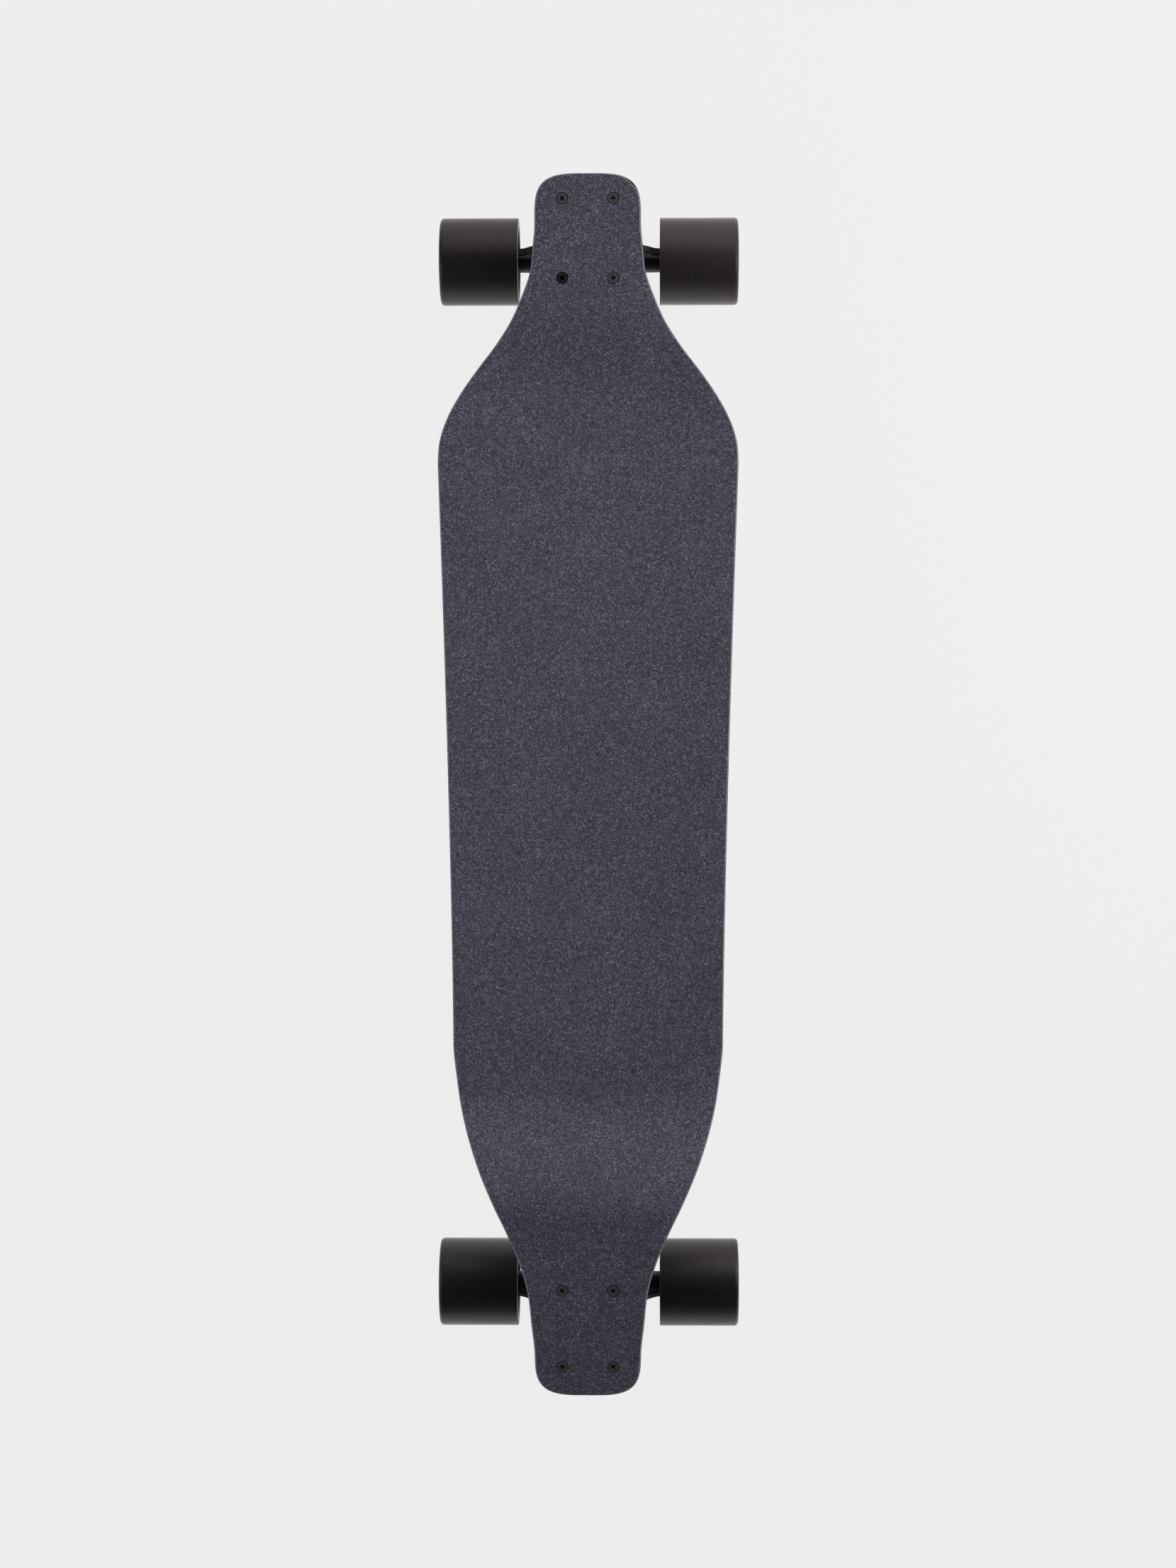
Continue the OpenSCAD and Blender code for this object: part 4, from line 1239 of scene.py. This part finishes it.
class LONGBOARD_OT_bearings(bpy.types.Operator):
    """Make the bearing races and seals, and finish the balls and cages inside"""

    bl_idname = "longboard.bearings"
    bl_label = "Bearings"

    gap = 1.5 * MM
    edge = 0.25 * MM
    # Section of a seal: place between the races, inner at -1 and outer at 1, and depth in mm
    seal = (
        (1, 0.1), (0.7, 0.05), (0.5, 0.22), (-0.5, 0.22),
        (-0.6, 0.06), (-0.8, 0.06), (-0.8, 0.4), (1, 0.4),
    )

    def races(self, name, inner, outer, places):
        """Rounded rings between two radii, one at each place."""
        width = wheel_sizes().bearing_width
        points = [(inner, 0), (outer, 0), (outer, width), (inner, width)]
        return turned(name, fillet(points, [self.edge] * 4, 3), places)

    def execute(self, context):
        t = truck_sizes()
        w = wheel_sizes()
        rubber = plastic_finish("seal_rubber", BLACK_PLASTIC, 0.5)
        nylon = plastic_finish("cage_nylon", (0.55, 0.52, 0.44), 0.45)
        pitch = (t.axle_radius + w.bearing_radius) / 2
        inner_at = t.hanger_width / 2 + w.washer
        outer_at = inner_at + w.bearing_width + w.spacer
        section = [(pitch + self.gap * across, depth * MM) for across, depth in self.seal]
        far_face = shift(0, 0, w.bearing_width) @ rotation("X", math.pi)
        for end in ENDS:
            places = {s: [along_axle(end, x, s) for x in (inner_at, outer_at)] for s in (-1, 1)}
            both = places[-1] + places[1]
            obj = self.races(f"{end}_inner_rings", t.axle_radius, pitch - self.gap, both)
            node = f"{end}_bearing_inner_races"
            finish_piece(obj, f"{end}_truck", "bright_steel", node, bright_steel())
            for side in SIDES:
                wheel = f"{end}_{side}"
                here = places[side_sign(end, side)]
                obj = self.races(f"{wheel}_outer_rings", pitch + self.gap, w.bearing_radius, here)
                node = f"{wheel}_bearing_outer_races"
                finish_piece(obj, f"{wheel}_wheel", "bright_steel", node, bright_steel())
                faces = here + [place @ far_face for place in here]
                obj = turned(f"{wheel}_seals", section, faces)
                node = f"{wheel}_bearing_shields"
                finish_piece(obj, f"{wheel}_wheel", "shield_rubber", node, rubber)
                paint_node(f"{wheel}_bearing_balls", bright_steel())
                paint_node(f"{wheel}_bearing_cages", nylon)
        return {"FINISHED"}


class LONGBOARD_OT_wheels(bpy.types.Operator):
    """Turn the urethane tyres and mould the cores with their windows"""

    bl_idname = "longboard.wheels"
    bl_label = "Wheels"

    inner_face = 29 * MM
    outer_face = 26.5 * MM
    sharp = 0.8 * MM
    rim_wall = 4 * MM
    hub_wall = 2.2 * MM
    web_in = 3 * MM
    stop = 2 * MM
    window = 2.7 * MM
    # Rounds of a core's right half, from the bearing's stop out to the rim
    core_rounds = [0, 0, 0.3 * MM, 0.6 * MM, 0.8 * MM, 0.8 * MM, 0.6 * MM, 0.3 * MM]
    much_dust = 0.75
    little_dust = 0.05

    def tyre_profile(self):
        """Section of the tyre: sharp inner lip, rounded outer lip, dished sides."""
        w = wheel_sizes()
        half = w.width / 2
        rim = w.core_width / 2
        corners = [
            (w.core_radius, -rim),
            (self.inner_face, -half),
            (w.radius, -half),
            (w.radius, half),
            (self.outer_face, half),
            (w.core_radius, rim),
        ]
        return fillet(corners, [0, 1.2 * MM, self.sharp, w.lip * 1.05, 1.6 * MM, 0], 8)

    def tyre(self, name, place, dust):
        """A tyre that carries its share of dust for the material."""
        obj = turned(name, self.tyre_profile(), [place], 144)
        for item in obj.data.attributes.new("dust", "FLOAT", "POINT").data:
            item.value = dust
        return obj

    def core(self, name, place):
        """A core with its bearing seats, its rim and the windows in its web."""
        w = wheel_sizes()
        hub_half = w.spacer / 2 + w.bearing_width
        hub = w.bearing_radius + self.hub_wall
        rim_in = w.core_radius - self.rim_wall
        rim = w.core_width / 2
        web = hub_half - self.web_in
        seat = w.spacer / 2
        right = [
            (w.bearing_radius - self.stop, seat),
            (w.bearing_radius, seat),
            (w.bearing_radius, hub_half),
            (hub, hub_half),
            (hub, web),
            (rim_in, web),
            (rim_in, rim),
            (w.core_radius, rim),
        ]
        left = [(r, -z) for r, z in reversed(right)]
        rounds = self.core_rounds + self.core_rounds[::-1]
        obj = turned(name, fillet(right + left, rounds, 3), [place], 96)
        holes = [
            place @ rotation("Z", 2 * math.pi * i / w.windows) @ shift((hub + rim_in) / 2, 0, 0)
            for i in range(w.windows)
        ]
        boolean(obj, turned("windows", bar(self.window, -hub_half, hub_half), holes, 28))
        return obj

    def execute(self, context):
        w = wheel_sizes()
        urethane = urethane_finish()
        plastic = plastic_finish("core_nylon", BLACK_PLASTIC, 0.45)
        middle = truck_sizes().hanger_width / 2 + w.washer + w.bearing_width + w.spacer / 2
        for end in ENDS:
            for side in SIDES:
                place = along_axle(end, middle, side_sign(end, side))
                wheel = f"{end}_{side}"
                dust = self.much_dust if wheel == "front_right" else self.little_dust
                obj = self.tyre(f"{wheel}_urethane", place, dust)
                finish_piece(obj, f"{wheel}_wheel", "urethane", f"{wheel}_tyre", urethane, sharp=40)
                obj = self.core(f"{wheel}_hub", place)
                finish_piece(obj, f"{wheel}_wheel", "core_plastic", f"{wheel}_core", plastic)
        return {"FINISHED"}


class LONGBOARD_OT_stage(bpy.types.Operator):
    """Set the pale floor, the soft studio light and the camera straight above"""

    bl_idname = "longboard.stage"
    bl_label = "Stage"

    floor_radius = 30
    sensor_width = 36
    camera_reach = 100

    def execute(self, context):
        look = context.scene.longboard_stage
        self.floor(look)
        self.room(context, look)
        self.softboxes(context, look)
        self.camera(context, look)
        return {"FINISHED"}

    def floor(self, look):
        """A wide disc that glows evenly."""
        bm = bmesh.new()
        bmesh.ops.create_circle(bm, cap_ends=True, radius=self.floor_radius, segments=96)
        obj = mesh_object("floor", bm)
        if obj.data.polygons[0].normal.z < 0:
            obj.data.flip_normals()
        f = Finish("pale_floor", look.floor_colour, 0.9, specular=0.0)
        f.feed("Roughness", f.noise(300, 0.88, 0.94))
        f.feed("Emission Color", (1, 1, 1))
        f.feed("Emission Strength", look.floor_glow)
        obj.data.materials.append(f.material)

    def room(self, context, look):
        """A dim room with a band of light low on the nose side."""
        world = bpy.data.worlds.new("soft_room")
        world.use_nodes = True
        t = Tree(world.node_tree)
        axes = t.add("SeparateXYZ", {"Vector": t.place("Generated")}).outputs
        walls = t.ramp(axes["Z"], ((0.0, 1.0), (0.33, 1.0), (0.66, 0.67), (1.0, 0.42)))
        band = t.ramp(axes["Z"], ((0.0, 1.0), (0.33, 0.0)))
        ahead = t.math("MULTIPLY", axes["Y"], look.window, clamp=True)
        glow = t.math("MULTIPLY", band, ahead)
        total = t.math("ADD", t.math("MULTIPLY", walls, look.ambient), glow)
        t.put(total, t.tree.nodes["Background"].inputs["Color"])
        context.scene.world = world
        context.scene.view_settings.view_transform = "Standard"

    def softboxes(self, context, look):
        """Four square lights: name, place, aim, side in m, power and colour."""
        for name, place, aim, size, power, tone in (
            ("nose_softbox", (0.2, 2.4, 1.3), (0, 0, 0.1), 3.0, look.nose_power, look.warm),
            ("key_softbox", (0.5, 1.9, 1.1), (0, 0, 0), 2.0, look.key_power, look.warm),
            ("left_softbox", (-1.2, -0.15, 0.75), (0, -0.1, 0.1), 0.9, look.left_power, look.cool),
            ("right_softbox", (1.1, 0.35, 0.75), (0, 0.2, 0.1), 0.9, look.right_power, look.cool),
        ):
            data = bpy.data.lights.new(name, "AREA")
            data.color = tone
            data.shape = "SQUARE"
            data.size = size
            data.energy = power
            lamp = bpy.data.objects.new(name, data)
            lamp.location = place
            lamp.rotation_euler = (Vector(aim) - Vector(place)).to_track_quat("-Z", "Y").to_euler()
            context.scene.collection.objects.link(lamp)

    def camera(self, context, look):
        """A camera over the board that looks a little to the left."""
        data = bpy.data.cameras.new("camera")
        data.sensor_width = self.sensor_width
        data.lens = look.lens
        data.clip_end = self.camera_reach
        obj = bpy.data.objects.new("camera", data)
        obj.location = (look.camera_x, look.camera_y, look.camera_height)
        turn = math.atan2(look.camera_x, look.camera_height - look.aim_height)
        obj.rotation_euler = (0, turn, 0)
        context.scene.collection.objects.link(obj)
        context.scene.camera = obj


class LONGBOARD_PT_panel(bpy.types.Panel):
    """Builders of the longboard's pieces"""

    bl_idname = "LONGBOARD_PT_panel"
    bl_label = "Longboard"
    bl_space_type = "VIEW_3D"
    bl_region_type = "UI"
    bl_category = "Longboard"

    def draw(self, context):
        column = self.layout.column()
        for operator in OPERATORS:
            column.operator(operator.bl_idname)


SIZES = (
    ("longboard_deck", LongboardDeckSizes),
    ("longboard_truck", LongboardTruckSizes),
    ("longboard_wheel", LongboardWheelSizes),
    ("longboard_stage", LongboardStageLook),
)
OPERATORS = (
    LONGBOARD_OT_stage,
    LONGBOARD_OT_deck,
    LONGBOARD_OT_grip,
    LONGBOARD_OT_deck_bolts,
    LONGBOARD_OT_nuts,
    LONGBOARD_OT_castings,
    LONGBOARD_OT_kingpins,
    LONGBOARD_OT_bushings,
    LONGBOARD_OT_axles,
    LONGBOARD_OT_bearings,
    LONGBOARD_OT_wheels,
)


def register():
    for name, group in SIZES:
        bpy.utils.register_class(group)
        setattr(bpy.types.Scene, name, PointerProperty(type=group))
    for item in OPERATORS + (LONGBOARD_PT_panel,):
        bpy.utils.register_class(item)


def unregister():
    for item in reversed(OPERATORS + (LONGBOARD_PT_panel,)):
        bpy.utils.unregister_class(item)
    for name, group in reversed(SIZES):
        delattr(bpy.types.Scene, name)
        bpy.utils.unregister_class(group)


def main():
    register()
    for operator in OPERATORS:
        family, name = operator.bl_idname.split(".")
        getattr(getattr(bpy.ops, family), name)()


if __name__ == "__main__":
    main()
